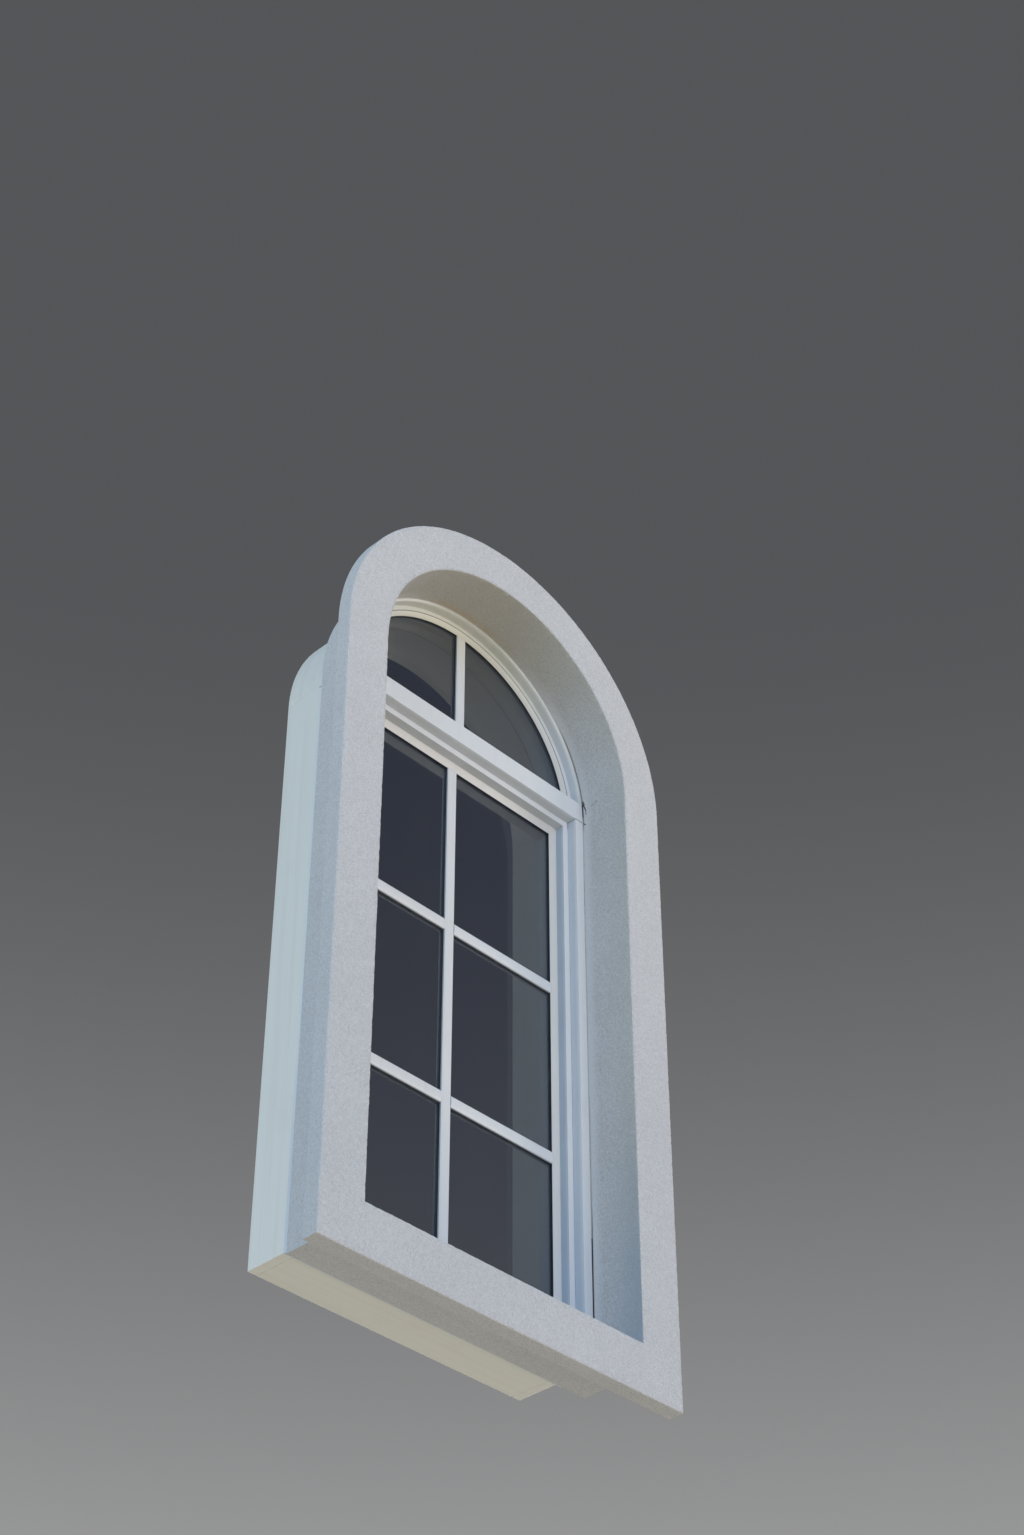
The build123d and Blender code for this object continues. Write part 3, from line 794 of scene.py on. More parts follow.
@dataclass(frozen=True)
class TintedGlass(Finish):
    """Dark blue-grey glass with a faint film of dust, which keeps little light from what lies against it."""

    colour: Colour = (0.006, 0.014, 0.036)
    dust: Colour = (0.10, 0.10, 0.10)
    gloss: Gloss = Gloss(0.03, 0.05)
    index: float = 1.5
    opacity: float = 0.55
    dust_opacity: float = 0.2
    light_share: float = 0.4
    smear_stretch: Point = (9.0, 9.0, 4.0)
    smear: Pattern = Pattern(1.0, 4.0, 0.6)
    smear_levels: Span = (0.45, 0.85)
    specks: Pattern = Pattern(260.0, 2.0, 0.6)
    speck_levels: Span = (0.70, 0.82)
    dust_share: float = 0.10

    def surface(self, graph: Graph) -> Signal:
        """Build the shader.

        Args:
            graph: node tree of the finish.

        Returns:
            Clear dark pane with a little dust.
        """
        place = graph.place()
        smear = graph.noise(graph.stretched(place, self.smear_stretch), self.smear)
        specks = graph.noise(place, self.specks).ramp(*self.speck_levels)
        film = smear.ramp(*self.smear_levels) * self.dust_share + specks * self.dust_share
        lit = graph.ray("Is Shadow Ray").larger(graph.ray("Is Diffuse Ray"))
        alpha = (self.opacity + film * self.dust_opacity) * (1.0 - lit * (1.0 - self.light_share))
        colour = graph.blend(film, self.colour, self.dust)
        return graph.shader(colour, self.gloss, smear, IOR=self.index, Alpha=alpha)


@dataclass(frozen=True)
class JointSealant(Finish):
    """Paintable sealant, tooled by finger and slightly dirty."""

    colour: Colour = (0.50, 0.495, 0.475)
    dirt: Colour = (0.22, 0.20, 0.17)
    gloss: Gloss = Gloss(0.55, 0.2, 0.4)
    dips: Pattern = Pattern(180.0, 3.0, 0.6)
    dip_levels: Span = (0.50, 0.75)
    dip_share: float = 0.25
    dip_relief: float = 0.35 * MM
    stain: Pattern = Pattern(22.0)
    stain_levels: Span = (0.50, 0.78)
    stain_share: float = 0.30

    def surface(self, graph: Graph) -> Signal:
        """Build the shader.

        Args:
            graph: node tree of the finish.

        Returns:
            Soft satin bead with dirt in its dips.
        """
        place = graph.place()
        dips = graph.noise(place, self.dips)
        stain = graph.noise(place, self.stain).ramp(*self.stain_levels) * self.stain_share
        dirty = dips.ramp(*self.dip_levels) * self.dip_share + stain
        colour = graph.blend(dirty, self.colour, self.dirt)
        return graph.shader(colour, self.gloss, dips, Normal=graph.relief(dips, self.dip_relief))


@dataclass(frozen=True)
class Rubber(Finish):
    """Black gasket rubber with a dull bloom."""

    colour: Colour = (0.018, 0.018, 0.020)
    bloom: Colour = (0.055, 0.055, 0.058)
    gloss: Gloss = Gloss(0.55, 0.25, 0.4)
    patches: Pattern = Pattern(70.0, 3.0, 0.6)
    bloom_levels: Span = (0.40, 0.75)
    pores: Pattern = Pattern(1500.0)
    pore_relief: float = 0.03 * MM

    def surface(self, graph: Graph) -> Signal:
        """Build the shader.

        Args:
            graph: node tree of the finish.

        Returns:
            Dull black with patches of bloom.
        """
        place = graph.place()
        patches = graph.noise(place, self.patches)
        pores = graph.relief(graph.noise(place, self.pores), self.pore_relief)
        colour = graph.blend(patches.ramp(*self.bloom_levels), self.colour, self.bloom)
        return graph.shader(colour, self.gloss, patches, Normal=pores)


@dataclass(frozen=True)
class FoamTape(Finish):
    """Pale grey mounting tape, slightly darker in its open pores."""

    colour: Colour = (0.60, 0.62, 0.62)
    gloss: Gloss = Gloss(0.85, 0.1, 0.2)
    pore_shade: float = 0.7
    pore_scale: float = 1400.0
    pore_levels: Span = (0.45, 0.75)
    pore_share: float = 0.5
    pore_relief: float = 0.05 * MM
    cloud: Pattern = Pattern(40.0)
    cloud_share: float = 0.2

    def surface(self, graph: Graph) -> Signal:
        """Build the shader.

        Args:
            graph: node tree of the finish.

        Returns:
            Matt foam with open pores.
        """
        place = graph.place()
        pores = graph.cells(place, self.pore_scale)
        cloud = graph.noise(place, self.cloud)
        share = pores.ramp(*self.pore_levels) * self.pore_share + cloud * self.cloud_share
        colour = graph.blend(share, self.colour, shade(self.colour, self.pore_shade))
        return graph.shader(colour, self.gloss, cloud, Normal=graph.relief(pores, self.pore_relief))


@dataclass(frozen=True)
class PaintedBoard(Finish):
    """Satin paint on timber, with brush marks along the board and a trace of its figure."""

    colour: Colour = (0.80, 0.79, 0.765)
    shadow: Colour = (0.66, 0.645, 0.61)
    gloss: Gloss = Gloss(0.38, 0.16, 0.45)
    grain: Grain = Grain.UPRIGHT
    spring: float = 1.233
    radius: float = 0.3
    along_scale: float = 3.5
    across_scale: float = 260.0
    strokes: Pattern = Pattern(1.0, 3.0, 0.6)
    stroke_levels: Span = (0.3, 0.7)
    stroke_share: float = 0.16
    stroke_relief: float = 0.12 * MM
    figure: Pattern = Pattern(0.25)
    figure_levels: Span = (0.45, 0.75)
    figure_share: float = 0.22
    wear: Pattern = Pattern(9.0, 3.0, 0.6)
    wear_levels: Span = (0.50, 0.85)
    wear_share: float = 0.22

    def brushed(self, graph: Graph) -> Signal:
        """Lay coordinates on the board, so that marks come out long.

        Args:
            graph: node tree of the finish.

        Returns:
            Coordinates that change slowly along the board and quickly across it.
        """
        place, along, across = graph.place(), self.along_scale, self.across_scale
        if self.grain is Grain.UPRIGHT:
            return graph.stretched(place, (across, across, along))
        if self.grain is Grain.LEVEL:
            return graph.stretched(place, (along, across, across))
        level, depth, height = graph.axes(place)
        rise = height - self.spring
        turn = rise.atan2(level) * (self.radius * along)
        reach = (level * level + rise * rise) * (0.5 * across / self.radius)
        return graph.node("ShaderNodeCombineXYZ", {}, {"X": turn, "Y": depth * across, "Z": reach})

    def surface(self, graph: Graph) -> Signal:
        """Build the shader.

        Args:
            graph: node tree of the finish.

        Returns:
            Brushed satin paint.
        """
        brushed = self.brushed(graph)
        strokes = graph.noise(brushed, self.strokes)
        figure = graph.noise(brushed, self.figure).ramp(*self.figure_levels) * self.figure_share
        wear = graph.noise(graph.place(), self.wear).ramp(*self.wear_levels) * self.wear_share
        share = strokes.ramp(*self.stroke_levels) * self.stroke_share + figure + wear
        colour = graph.blend(share, self.colour, self.shadow)
        return graph.shader(colour, self.gloss, strokes, Normal=graph.relief(strokes, self.stroke_relief))


@dataclass(frozen=True)
class MouldedPlastic(Finish):
    """Matt moulded plastic of packers and setting blocks."""

    colour: Colour = (0.055, 0.11, 0.21)
    gloss: Gloss = Gloss(0.48, 0.15)
    scuff_shade: float = 1.7
    scuffs: Pattern = Pattern(130.0, 3.0, 0.6)
    scuff_levels: Span = (0.55, 0.75)
    scuff_share: float = 0.4
    texture: Pattern = Pattern(900.0)
    texture_relief: float = 0.03 * MM

    def surface(self, graph: Graph) -> Signal:
        """Build the shader.

        Args:
            graph: node tree of the finish.

        Returns:
            Matt plastic with a fine tool texture and paler scuffs.
        """
        place = graph.place()
        texture = graph.noise(place, self.texture)
        scuffs = graph.noise(place, self.scuffs).ramp(*self.scuff_levels) * self.scuff_share
        colour = graph.blend(scuffs, self.colour, shade(self.colour, self.scuff_shade))
        return graph.shader(colour, self.gloss, texture, Normal=graph.relief(texture, self.texture_relief))


@dataclass(frozen=True)
class BareMetal(Finish):
    """Bare or plated metal with rolling marks and dull spots."""

    colour: Colour = (0.60, 0.60, 0.59)
    dull: Colour = (0.36, 0.35, 0.33)
    gloss: Gloss = Gloss(0.34, 0.2)
    mark_swing: float = 0.4
    mark_stretch: Point = (900.0, 60.0, 60.0)
    marks: Pattern = Pattern(1.0, 3.0, 0.6)
    mark_relief: float = 0.02 * MM
    spots: Pattern = Pattern(240.0, 3.0, 0.6)
    spot_levels: Span = (0.48, 0.72)
    spot_share: float = 0.7

    def surface(self, graph: Graph) -> Signal:
        """Build the shader.

        Args:
            graph: node tree of the finish.

        Returns:
            Metal with marks and dull spots.
        """
        place = graph.place()
        marks = graph.noise(graph.stretched(place, self.mark_stretch), self.marks)
        spots = graph.noise(place, self.spots).ramp(*self.spot_levels)
        colour = graph.blend(spots * self.spot_share, self.colour, self.dull)
        swing = spots + marks * self.mark_swing
        rolled = graph.relief(marks, self.mark_relief)
        return graph.shader(colour, self.gloss, swing, Metallic=1.0, Normal=rolled)


@dataclass(frozen=True)
class StudioFloor(Finish):
    """Plain floor paint, pale to the eye and a little warmer in the light that it sends up."""

    colour: Colour = (0.86, 0.765, 0.655)
    bounce: Colour = (0.86, 0.70, 0.53)
    gloss: Gloss = Gloss(0.9, level=0.1)
    cloud: Pattern = Pattern(0.6)
    cloud_shades: Span = (0.98, 1.02)

    def surface(self, graph: Graph) -> Signal:
        """Build the shader.

        Args:
            graph: node tree of the finish.

        Returns:
            Even matt paint with the faintest variation.
        """
        cloud = graph.noise(graph.place(), self.cloud)
        pale = graph.blend(cloud, *(shade(self.colour, factor) for factor in self.cloud_shades))
        return graph.shader(graph.blend(graph.seen(), self.bounce, pale), self.gloss, 0.0)


RENDER = SandedRender("sanded_render")
COATING = PowderCoat("white_powder_coat")
# Beads: a darker, warmer copy of the white coat, which paints in the warm shade of the recessed beads.
SHADED_BEAD_COATING = PowderCoat("shaded_bead_coat", colour=(0.750, 0.740, 0.728))
GLASS = TintedGlass("tinted_glass_pane")
SEALANT = JointSealant("joint_sealant")
RUBBER = Rubber("black_gasket_rubber")
FOAM_TAPE = FoamTape("pale_foam_tape")
UPRIGHT_BOARD = PaintedBoard("painted_board_upright")
LEVEL_BOARD = PaintedBoard("painted_board_level", grain=Grain.LEVEL)
BENT_BOARD = PaintedBoard("painted_board_bent", grain=Grain.ROUND)
PACKER_PLASTIC = MouldedPlastic("packer_plastic_blue")
BLOCK_PLASTIC = MouldedPlastic("block_plastic_black", colour=(0.03, 0.03, 0.032))
SCREW_STEEL = BareMetal("plated_screw_steel", colour=(0.62, 0.60, 0.54))
ALUMINIUM = BareMetal("mill_aluminium", colour=(0.66, 0.67, 0.68))


@dataclass
class SubAssembly:
    """Base of every sub-assembly: CAD nodes that stay, with a finish and softened arrises."""

    edge: float = 0.0
    edge_steps: int = 2
    arris_angle: float = math.radians(30.0)
    flat_angle: float = math.radians(0.5)

    def dress(self, names: tuple[str, ...], finish: Finish, squeeze: float = 0.0) -> None:
        """Give CAD nodes their finish and softened arrises.

        Args:
            names: the nodes.
            finish: what they are coated with.
            squeeze: how far a soft strip's faces draw in, so that none shares a plane with the glass.
        """
        for name in names:
            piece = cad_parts[name]
            piece.data.materials.clear()
            piece.data.materials.append(finish.material())
            if self.edge > 0.0:
                self.soften(piece)
            if squeeze > 0.0:
                drawn = piece.modifiers.new("squeezed_strip", "DISPLACE")
                drawn.mid_level = 0.0
                drawn.strength = -squeeze
            log.info("%s: %s", name, finish.name)

    def soften(self, piece: bpy.types.Object) -> None:
        """Round a piece's arrises, after its flat faces have been made whole.

        Args:
            piece: the CAD node.
        """
        weld = piece.modifiers.new("join_faces", "WELD")
        weld.merge_threshold = MERGE
        whole = piece.modifiers.new("whole_faces", "DECIMATE")
        whole.decimate_type = "DISSOLVE"
        whole.angle_limit = self.flat_angle
        bevel = piece.modifiers.new("soft_arrises", "BEVEL")
        bevel.width = self.edge
        bevel.segments = self.edge_steps
        bevel.limit_method = "ANGLE"
        bevel.angle_limit = self.arris_angle
        bevel.harden_normals = True


def swept(name: str, rows: list[list[Vector]], closed: bool) -> bpy.types.Object:
    """Skin a row of closed sections, in order, into one clean mesh.

    Args:
        name: name of the piece.
        rows: sections along the sweep, each with the same number of points.
        closed: whether the last section joins the first; otherwise both ends are capped.

    Returns:
        The new object, with faces outwards.
    """
    count = len(rows[0])
    points = [point for row in rows for point in row]
    faces = []
    for i in range(len(rows) if closed else len(rows) - 1):
        here, there = i * count, (i + 1) % len(rows) * count
        for k in range(count):
            after = (k + 1) % count
            faces.append((here + k, here + after, there + after, there + k))
    if not closed:
        last = (len(rows) - 1) * count
        faces.append(tuple(reversed(range(count))))
        faces.append(tuple(range(last, last + count)))
    mesh = bpy.data.meshes.new(name)
    mesh.from_pydata(points, [], faces)
    work = bmesh.new()
    work.from_mesh(mesh)
    bmesh.ops.remove_doubles(work, verts=work.verts, dist=2.0 * MERGE)
    bmesh.ops.dissolve_degenerate(work, edges=work.edges, dist=MERGE)
    bmesh.ops.recalc_face_normals(work, faces=work.faces)
    work.to_mesh(mesh)
    work.free()
    piece = bpy.data.objects.new(name, mesh)
    bpy.context.scene.collection.objects.link(piece)
    return piece


def finish_piece(piece: bpy.types.Object, finish: Finish, nodes: tuple[str, ...]) -> None:
    """Coat a new piece and tie it to the frame.

    Args:
        piece: the new piece.
        finish: what it is coated with.
        nodes: CAD nodes that it stands for.
    """
    piece.data.materials.append(finish.material())
    piece.data.set_sharp_from_angle(angle=SHARP_ANGLE)
    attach(piece, "root")
    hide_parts(*nodes)
    log.info("%s: %d faces, stands for %s", piece.name, len(piece.data.polygons), ", ".join(nodes))


def even(start: float, end: float, steps: int) -> list[float]:
    """Even steps from start to end, both among them."""
    return [start + (end - start) * i / steps for i in range(steps + 1)]


@dataclass(frozen=True)
class Waves:
    """Two noises in space, by their cycles per metre, added by their heights."""

    scales: Span
    heights: Span

    def at(self, place: Vector) -> float:
        """Height at a place, around 0."""
        return sum(noise.noise(place * scale) * height for scale, height in zip(self.scales, self.heights))


@dataclass
class Surround(SubAssembly):
    """Rendered band and reveal in one, with a hand-worked face and slightly broken arrises."""

    half_opening: float = 310.0 * MM
    band: float = 93.5 * MM
    spring: float = 1233.0 * MM
    sill_front: float = 91.5 * MM
    sill_back: float = 94.0 * MM
    rebate_depth: float = 75.0 * MM
    rebate_floor: float = 72.7 * MM
    face_depth: float = -30.0 * MM
    return_depth: float = 120.0 * MM
    return_wall: float = 20.0 * MM
    arris: float = 2.0 * MM
    pitch: float = 2.3 * MM
    corner_steps: int = 18
    reveal_steps: int = 14
    rebate_steps: int = 2
    hidden_steps: int = 3
    side_steps: int = 6
    arris_steps: int = 3
    face_steps: int = 10
    wave: float = 0.55 * MM
    swell: Waves = Waves((38.0, 105.0), (0.55, 0.45))
    fading: float = 6.0 * MM
    sill_edge: float = 3.0 * MM
    frame_side: float = 0.5 * MM
    arris_facing: Span = (0.2, 0.985)
    arris_reach: float = 0.1 * MM
    breaks: Waves = Waves((150.0, 330.0), (0.6, 0.4))
    unbroken: float = 0.10
    chip: float = 3.0 * MM
    nib: float = 1.6 * MM

    def sill(self, depth: float) -> float:
        """Level of the sill at a depth into the wall."""
        share = (depth - self.face_depth) / (self.rebate_depth - self.face_depth)
        return self.sill_front + (self.sill_back - self.sill_front) * share

    def section(self) -> list[Point]:
        """Lay out the lines that run round the opening.

        Returns:
            Half width, base level and depth of each line, in order round the section.
        """
        half, outer = self.half_opening, self.half_opening + self.band
        front_line = self.face_depth + self.arris
        lines = [(half, self.sill(y), y) for y in even(front_line, self.rebate_depth, self.reveal_steps)]
        for y in even(self.rebate_depth, self.return_depth, self.rebate_steps):
            lines.append((half, self.rebate_floor, y))
        wide, low = half + self.return_wall, self.rebate_floor - self.return_wall
        lines += [(wide, low, y) for y in even(self.return_depth, 0.0, self.hidden_steps)]
        for t in even(0.0, 1.0, self.hidden_steps)[1:]:
            lines.append((wide + (outer - wide) * t, low * (1.0 - t), 0.0))
        lines += [(outer, 0.0, y) for y in even(0.0, front_line, self.side_steps)[1:-1]]
        lines += self.rounded(outer - self.arris, self.arris, even(0.0, 90.0, self.arris_steps))
        inner_base = self.sill_front - self.arris
        run = outer - half - 2.0 * self.arris
        rise = inner_base - self.arris
        for t in even(0.0, 1.0, self.face_steps)[1:-1]:
            lines.append((outer - self.arris - run * t, self.arris + rise * t, self.face_depth))
        turns = even(90.0, 180.0, self.arris_steps)
        return lines + self.rounded(half + self.arris, inner_base, turns)[:-1]

    def rounded(self, half: float, base: float, turns: list[float]) -> list[Point]:
        """Lines of a rounded arris about a centre line.

        Args:
            half: half width of the centre line.
            base: base level of the centre line.
            turns: degrees from the side of the band round to its face.

        Returns:
            One line for each turn.
        """
        lines = []
        for turn in turns:
            across = self.arris * math.cos(math.radians(turn))
            out = self.arris * math.sin(math.radians(turn))
            lines.append((half + across, base - across, self.face_depth + self.arris - out))
        return lines

    def outline(self, half: float, base: float, depth: float) -> list[Vector]:
        """Points of one line round the opening, from its lower left corner clockwise.

        Args:
            half: half width, and radius of the arch.
            base: level of its lower side.
            depth: distance into the wall.

        Returns:
            The same number of points for every line.
        """
        steps = round((self.spring - self.sill_back) / self.pitch)
        leg = even(base, self.sill_back, self.corner_steps)[:-1]
        leg += even(self.sill_back, self.spring, steps)[:-1]
        turns = even(math.pi, 0.0, round(math.pi * self.half_opening / self.pitch))
        floor = even(1.0, -1.0, round(2.0 * self.half_opening / self.pitch))[1:-1]
        points = [Vector((-half, depth, z)) for z in leg]
        points += [Vector((half * math.cos(a), depth, self.spring + half * math.sin(a))) for a in turns]
        points += [Vector((half, depth, z)) for z in reversed(leg)]
        return points + [Vector((half * share, depth, base)) for share in floor]

    def worn(self, place: Vector, normal: Vector) -> Vector:
        """Work out how the trowel and the weather move one point of the coat.

        Args:
            place: the point.
            normal: where the surface faces there.

        Returns:
            Its shift: inwards by soft waves and chips, and a little out into the opening at a nib.
        """
        reach = abs(place.x) if place.z < self.spring else math.hypot(place.x, place.z - self.spring)
        inside = reach < self.half_opening + self.arris and place.z > self.sill_front - self.sill_edge
        worked = 1.0 if inside else min(1.0, max(0.0, -place.y / self.fading))
        if inside and place.y > self.rebate_depth - self.frame_side:
            worked = 0.0
        shift = normal * (-self.wave * (0.5 + 0.5 * self.swell.at(place)) * worked)
        least, most = self.arris_facing
        if least < abs(normal.y) < most and place.y < self.face_depth + self.arris + self.arris_reach:
            broken = self.breaks.at(place)
            shift -= normal * (self.chip * max(0.0, broken - self.unbroken))
            if inside:
                inward = Vector((normal.x, 0.0, normal.z))
                shift += inward * (self.nib * max(0.0, -broken - self.unbroken))
        return shift

    def weather(self, piece: bpy.types.Object) -> None:
        """Press the worked faces in by soft waves, and chip the arrises at scattered places.

        Args:
            piece: the render coat.
        """
        work = bmesh.new()
        work.from_mesh(piece.data)
        shifts = [self.worn(vertex.co, vertex.normal) for vertex in work.verts]
        for vertex, shift in zip(work.verts, shifts):
            vertex.co += shift
        work.to_mesh(piece.data)
        work.free()

    def build(self) -> None:
        """Make the render coat, which stands for the surround."""
        lines = [self.outline(*line) for line in self.section()]
        rows = [[line[i] for line in lines] for i in range(len(lines[0]))]
        piece = swept("render_surround", rows, closed=True)
        self.weather(piece)
        finish_piece(piece, RENDER, ("surround",))


@dataclass
class Sealant(SubAssembly):
    """Sealant between the frame and the reveal, drawn away from the frame on the right.

    The tables give gaps in millimetres: by the height in millimetres up to the transom's top, and by the
    degrees round the arch beyond it. Each step of the tooled face is a share of its width and a rise.
    """

    half_frame: float = 308.0 * MM
    half_opening: float = 310.0 * MM
    bite: float = 0.9 * MM
    front: float = 77.0 * MM
    depth: float = 6.0 * MM
    sag: float = 0.7 * MM
    frame_edge: float = 0.3 * MM
    tooled: tuple[Span, Span] = ((0.35, 0.0), (0.70, 0.25 * MM))
    lap: float = 0.4 * MM
    lap_edge: float = 0.2 * MM
    base: float = 94.0 * MM
    spring: float = 1233.0 * MM
    transom_top: float = 1268.0 * MM
    pitch: float = 3.0 * MM
    full_gap: float = 1.75 * MM
    ragged: Waves = Waves((230.0, 60.0), (0.35 * MM, 0.2 * MM))
    least_stations: int = 3
    leg_gaps: tuple[Span, ...] = (
        (94.0, 1.9), (250.0, 1.9), (325.0, 1.8), (345.0, 1.1), (430.0, 0.8), (600.0, 0.35), (660.0, 0.0),
        (1195.0, 0.0), (1215.0, 0.9), (1226.0, 0.6), (1243.0, 2.0), (1268.0, 2.4),
    )
    arch_gaps: tuple[Span, ...] = (
        (0.0, 1.6), (7.5, 1.6), (10.0, 1.3), (19.0, 1.4), (23.0, 1.6), (34.0, 1.5), (39.0, 0.5), (46.0, 0.0),
        (180.0, 0.0),
    )

    @staticmethod
    def read(table: tuple[Span, ...], at: float) -> float:
        """Read a gap between the entries of a table.

        Args:
            table: places in order, each with its gap.
            at: the place that is looked up.

        Returns:
            The gap there; beyond either end it is the end's.
        """
        for (low, first), (high, second) in zip(table, table[1:]):
            if low <= at <= high:
                return first + (second - first) * (at - low) / (high - low)
        return table[0][1] if at < table[0][0] else table[-1][1]

    def stations(self) -> list[tuple[Vector, Vector, float]]:
        """Walk round the frame's edge from the right foot.

        Returns:
            Place on the edge, direction to the reveal, and gap in millimetres, for each station.
        """
        heights = even(self.base, self.spring, round((self.spring - self.base) / self.pitch))
        right, left = Vector((1.0, 0.0, 0.0)), Vector((-1.0, 0.0, 0.0))
        made = [
            (Vector((self.half_frame, 0.0, z)), right, self.read(self.leg_gaps, z / MM)) for z in heights[:-1]
        ]
        for a in even(0.0, math.pi, round(math.pi * self.half_frame / self.pitch)):
            out = Vector((math.cos(a), 0.0, math.sin(a)))
            place = out * self.half_frame + Vector((0.0, 0.0, self.spring))
            above = self.spring + self.half_frame * math.sin(a)
            if a < math.pi / 2.0 and above < self.transom_top:
                gap = self.read(self.leg_gaps, above / MM)
            else:
                gap = self.read(self.arch_gaps, math.degrees(a))
            made.append((place, out, gap))
        descent = even(self.spring, self.base, len(heights) - 1)[1:]
        return made + [(Vector((-self.half_frame, 0.0, z)), left, 0.0) for z in descent]

    def section(self, place: Vector, out: Vector, gap: float) -> list[Vector]:
        """Points of the bead's section at one station.

        Args:
            place: the station's place on the frame's edge.
            out: direction to the reveal.
            gap: how far the bead stands off the frame, in metres.

        Returns:
            The section, from the frame over the tooled face to the reveal and back behind it.
        """
        width = self.half_opening - self.half_frame
        near, far = min(gap, self.full_gap), width + self.bite
        corners = [(near, self.front + self.frame_edge + 0.5 * gap)]
        for share, rise in self.tooled:
            corners.append((near + (width - near) * share, self.front + self.sag - rise))
        corners += [
            (width, self.front - self.lap),
            (far, self.front - self.lap_edge),
            (far, self.front + self.depth),
            (near, self.front + self.depth),
        ]
        return [place + out * across + Vector((0.0, deep, 0.0)) for across, deep in corners]

    def build(self) -> None:
        """Make the bead in stretches, each ending where the joint stands open."""
        stretches: list[list[list[Vector]]] = [[]]
        for place, out, gap in self.stations():
            real = max(0.0, gap * MM + (self.ragged.at(place) if gap > 0.0 else 0.0))
            if real < self.full_gap:
                stretches[-1].append(self.section(place, out, real))
            elif stretches[-1]:
                stretches.append([])
        runs = [rows for rows in stretches if len(rows) >= self.least_stations]
        piece = swept("sealant_bead", runs[0], closed=False)
        for i, rows in enumerate(runs[1:], start=1):
            more = swept(f"sealant_stretch_{i}", rows, closed=False)
            work = bmesh.new()
            work.from_mesh(piece.data)
            work.from_mesh(more.data)
            work.to_mesh(piece.data)
            work.free()
            bpy.data.objects.remove(more)
        finish_piece(piece, SEALANT, ("perimeter_seal",))
        self.dress(("sill_seal",), SEALANT)


@dataclass
class OuterFrame(SubAssembly):
    """Jambs, sill, transom and arch frame."""

    edge: float = 0.4 * MM

    def build(self) -> None:
        """Dress the outer frame."""
        self.dress(("left_jamb", "right_jamb", "frame_sill", "transom", "arch_frame"), COATING)


@dataclass
class LowerLight(SubAssembly):
    """Sash, beads, glass and gaskets below the transom."""

    edge: float = 0.35 * MM

    def build(self) -> None:
        """Dress the lower light."""
        self.dress(("sash_top_rail", "sash_bottom_rail", "sash_left_stile", "sash_right_stile"), COATING)
        self.dress(("bead_top", "bead_bottom", "bead_left", "bead_right"), SHADED_BEAD_COATING)
        self.dress(("lower_glass",), GLASS)
        self.dress(("lower_gasket",), RUBBER, SQUEEZE)
        self.dress(("lower_tape",), FOAM_TAPE, SQUEEZE)
        self.dress(("lower_setting_blocks",), BLOCK_PLASTIC)


@dataclass
class ArchLight(SubAssembly):
    """Beads, glass and gaskets of the half-round light."""

    edge: float = 0.35 * MM

    def build(self) -> None:
        """Dress the arch light."""
        self.dress(("arch_bead", "arch_base_bead"), SHADED_BEAD_COATING)
        self.dress(("arch_glass",), GLASS)
        self.dress(("arch_gasket",), RUBBER, SQUEEZE)
        self.dress(("arch_tape",), FOAM_TAPE, SQUEEZE)
        self.dress(("arch_setting_blocks",), BLOCK_PLASTIC)


@dataclass
class GlazingBars(SubAssembly):
    """Bars and tapes on both faces of the glass."""

    edge: float = 0.35 * MM

    def build(self) -> None:
        """Dress the bars and their tapes."""
        for face in ("outer", "inner"):
            crosses = tuple(f"cross_bar_{face}_{side}_{row}" for side in ("left", "right") for row in (1, 2))
            self.dress((f"arch_bar_{face}", f"upright_bar_{face}", *crosses), COATING)
            self.dress((f"bar_tapes_{face}",), FOAM_TAPE, SQUEEZE)


@dataclass
class Lining(SubAssembly):
    """Timber lining behind the frame."""

    edge: float = 1.0 * MM

    def build(self) -> None:
        """Dress the lining."""
        self.dress(("lining_left", "lining_right"), UPRIGHT_BOARD)
        self.dress(("lining_sill",), LEVEL_BOARD)
        self.dress(("lining_arch",), BENT_BOARD)


@dataclass
class Fixings(SubAssembly):
    """Packers, screws and cleats that hold the frame."""

    def build(self) -> None:
        """Dress the fixings."""
        self.dress(("side_packers", "sill_packers"), PACKER_PLASTIC)
        self.dress(("frame_screws",), SCREW_STEEL)
        self.dress(("corner_cleats",), ALUMINIUM)


@dataclass(frozen=True)
class SoftLamp:
    """One large soft lamp that faces the middle of the part."""

    name: str
    place: Point
    power: float
    colour: Colour
    size: float = 4.0

    def hang(self, aim: Vector) -> None:
        """Hang the lamp.

        Args:
            aim: point that it faces.
        """
        lamp = bpy.data.lights.new(self.name, "AREA")
        lamp.shape = "SQUARE"
        lamp.size = self.size
        lamp.energy = self.power
        lamp.color = self.colour
        hung = bpy.data.objects.new(self.name, lamp)
        hung.location = self.place
        hung.rotation_euler = (aim - Vector(self.place)).to_track_quat("-Z", "Y").to_euler()
        bpy.context.scene.collection.objects.link(hung)


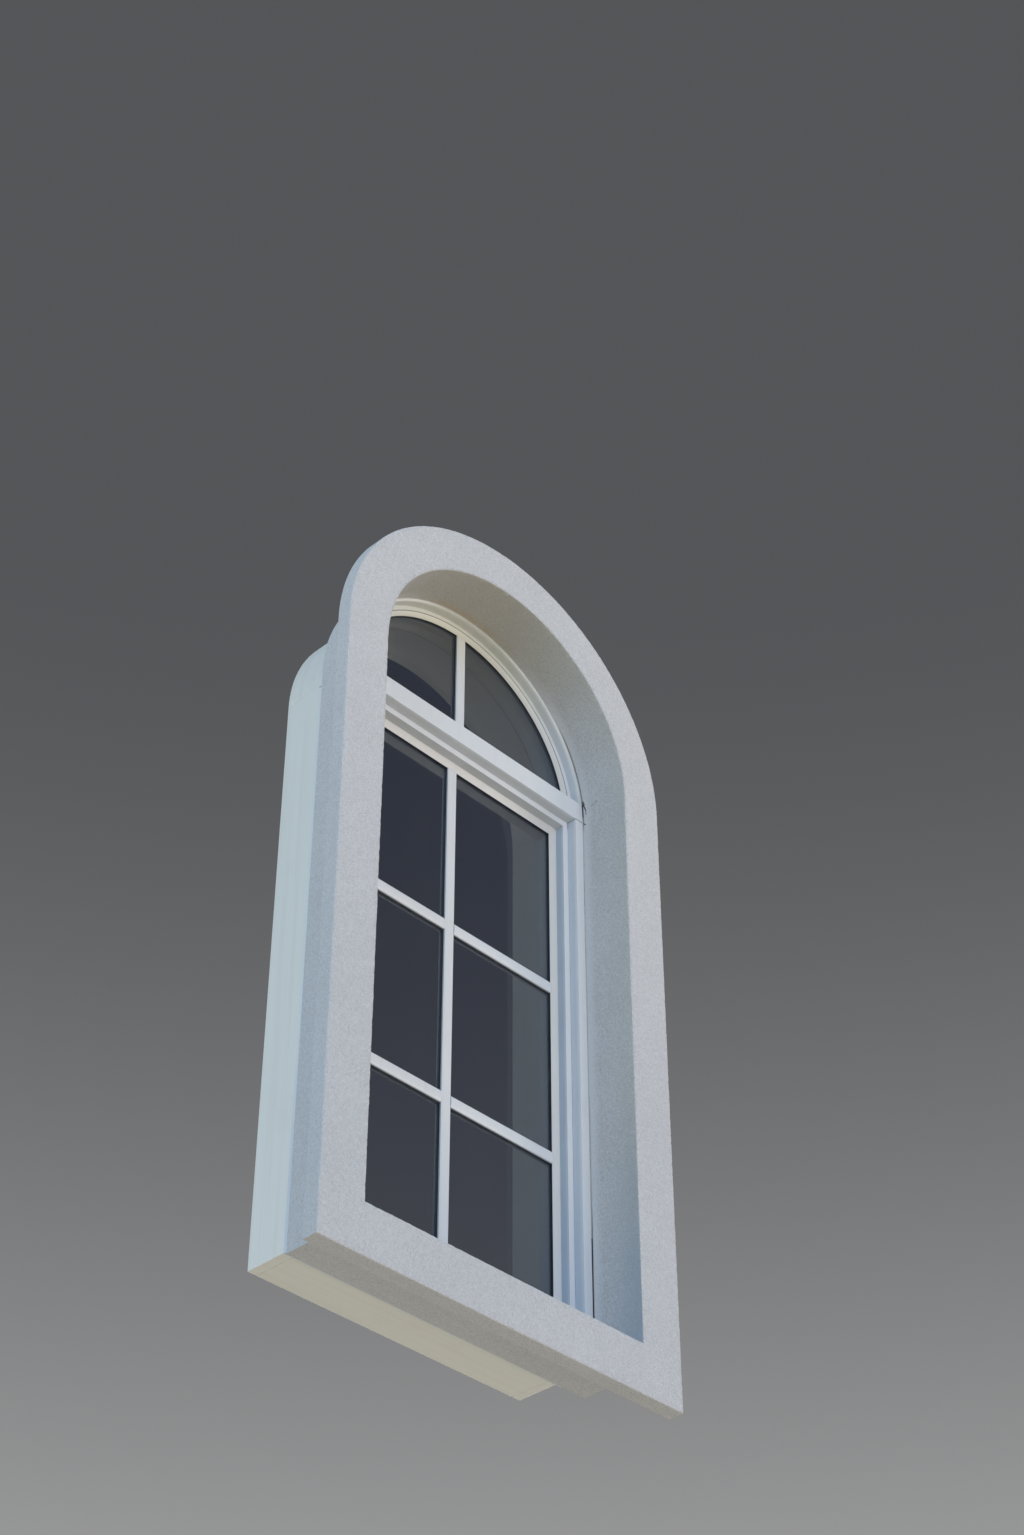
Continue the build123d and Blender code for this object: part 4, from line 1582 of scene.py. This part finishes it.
@dataclass
class Studio:
    """Floor, soft light and backdrop colour around the part."""

    floor_level: float = -3.6
    floor_radius: float = 60.0
    floor_sides: int = 96
    light: Colour = (0.40, 0.50, 0.58)
    backdrop_low: Colour = (0.62, 0.62, 0.62)
    backdrop_high: Colour = (0.09, 0.092, 0.098)
    backdrop_heights: Span = (0.0, 0.7)
    lamps: tuple[SoftLamp, ...] = (
        SoftLamp("front_lamp", (0.0, -9.0, 0.8), 204.0, (0.95, 0.92, 1.0)),
        SoftLamp("cool_left_lamp", (-8.5, -2.6, 0.8), 190.0, (0.47, 0.73, 1.0)),
        SoftLamp("warm_right_lamp", (6.4, -6.4, 0.8), 147.0, (1.0, 0.87, 0.71)),
        SoftLamp("back_left_lamp", (-6.4, 6.4, 2.6), 72.0, (0.90, 0.96, 1.0)),
        SoftLamp("back_right_lamp", (6.4, 6.4, 2.6), 90.0, (1.0, 0.97, 0.93)),
    )

    def lay_floor(self) -> None:
        """Lay a large round floor well below the part."""
        mesh = bpy.data.meshes.new("studio_floor")
        turns = even(0.0, 2.0 * math.pi, self.floor_sides)[:-1]
        across = [(self.floor_radius * math.cos(a), self.floor_radius * math.sin(a)) for a in turns]
        rim = [(x, y, self.floor_level) for x, y in across]
        mesh.from_pydata(rim, [], [tuple(range(len(rim)))])
        mesh.materials.append(StudioFloor("pale_floor").material())
        floor = bpy.data.objects.new("studio_floor", mesh)
        bpy.context.scene.collection.objects.link(floor)

    def light_world(self) -> None:
        """Light the part from all round, and show the camera, metal and glass a plain backdrop."""
        world = bpy.data.worlds.new("studio_world")
        world.use_nodes = True
        world.node_tree.nodes.clear()
        graph = Graph(world.node_tree)
        height = graph.axis(graph.node("ShaderNodeTexCoord", {}, {}, "Generated"), "Z")
        backdrop = graph.blend(height.ramp(*self.backdrop_heights), self.backdrop_low, self.backdrop_high)
        inputs = {"Color": graph.blend(graph.seen(), self.light, backdrop), "Strength": 1.0}
        background = graph.node("ShaderNodeBackground", {}, inputs)
        graph.node("ShaderNodeOutputWorld", {}, {"Surface": background}, None)
        bpy.context.scene.world = world

    def build(self) -> None:
        """Set the stage."""
        self.lay_floor()
        self.light_world()
        low, high = cad_box
        for lamp in self.lamps:
            lamp.hang((low + high) / 2)
        bpy.context.scene.view_settings.view_transform = "Standard"
        log.info("studio: floor, backdrop and %d soft lamps", len(self.lamps))


@dataclass
class PhotographCamera:
    """Camera at the photograph's place, below the window and to its left."""

    place: Point = (-2.6168, -2.5601, -1.9182)
    yaw: float = -45.994
    pitch: float = 39.816
    roll: float = -0.0486
    lens: float = 61.70
    sensor: float = 36.0

    def build(self) -> None:
        """Make the camera and look through it."""
        data = bpy.data.cameras.new("photograph_camera")
        data.lens = self.lens
        data.sensor_width = self.sensor
        data.sensor_fit = "AUTO"
        turn = Matrix.Rotation(math.radians(self.yaw), 4, "Z")
        turn @= Matrix.Rotation(math.radians(self.pitch), 4, "X")
        turn @= Matrix.Rotation(math.radians(self.roll), 4, "Y")
        turn @= Matrix.Rotation(math.radians(90.0), 4, "X")
        camera = bpy.data.objects.new("photograph_camera", data)
        camera.matrix_world = Matrix.Translation(self.place) @ turn
        bpy.context.scene.collection.objects.link(camera)
        bpy.context.scene.camera = camera
        log.info("camera: %.1f mm at %s", self.lens, self.place)


def main() -> None:
    """Build the sub-assemblies in order, from the stage inwards."""
    PhotographCamera().build()
    Studio().build()
    for sub_assembly in (
        Surround(),
        Sealant(),
        OuterFrame(),
        LowerLight(),
        ArchLight(),
        GlazingBars(),
        Lining(),
        Fixings(),
    ):
        sub_assembly.build()


if __name__ == "__main__":
    main()
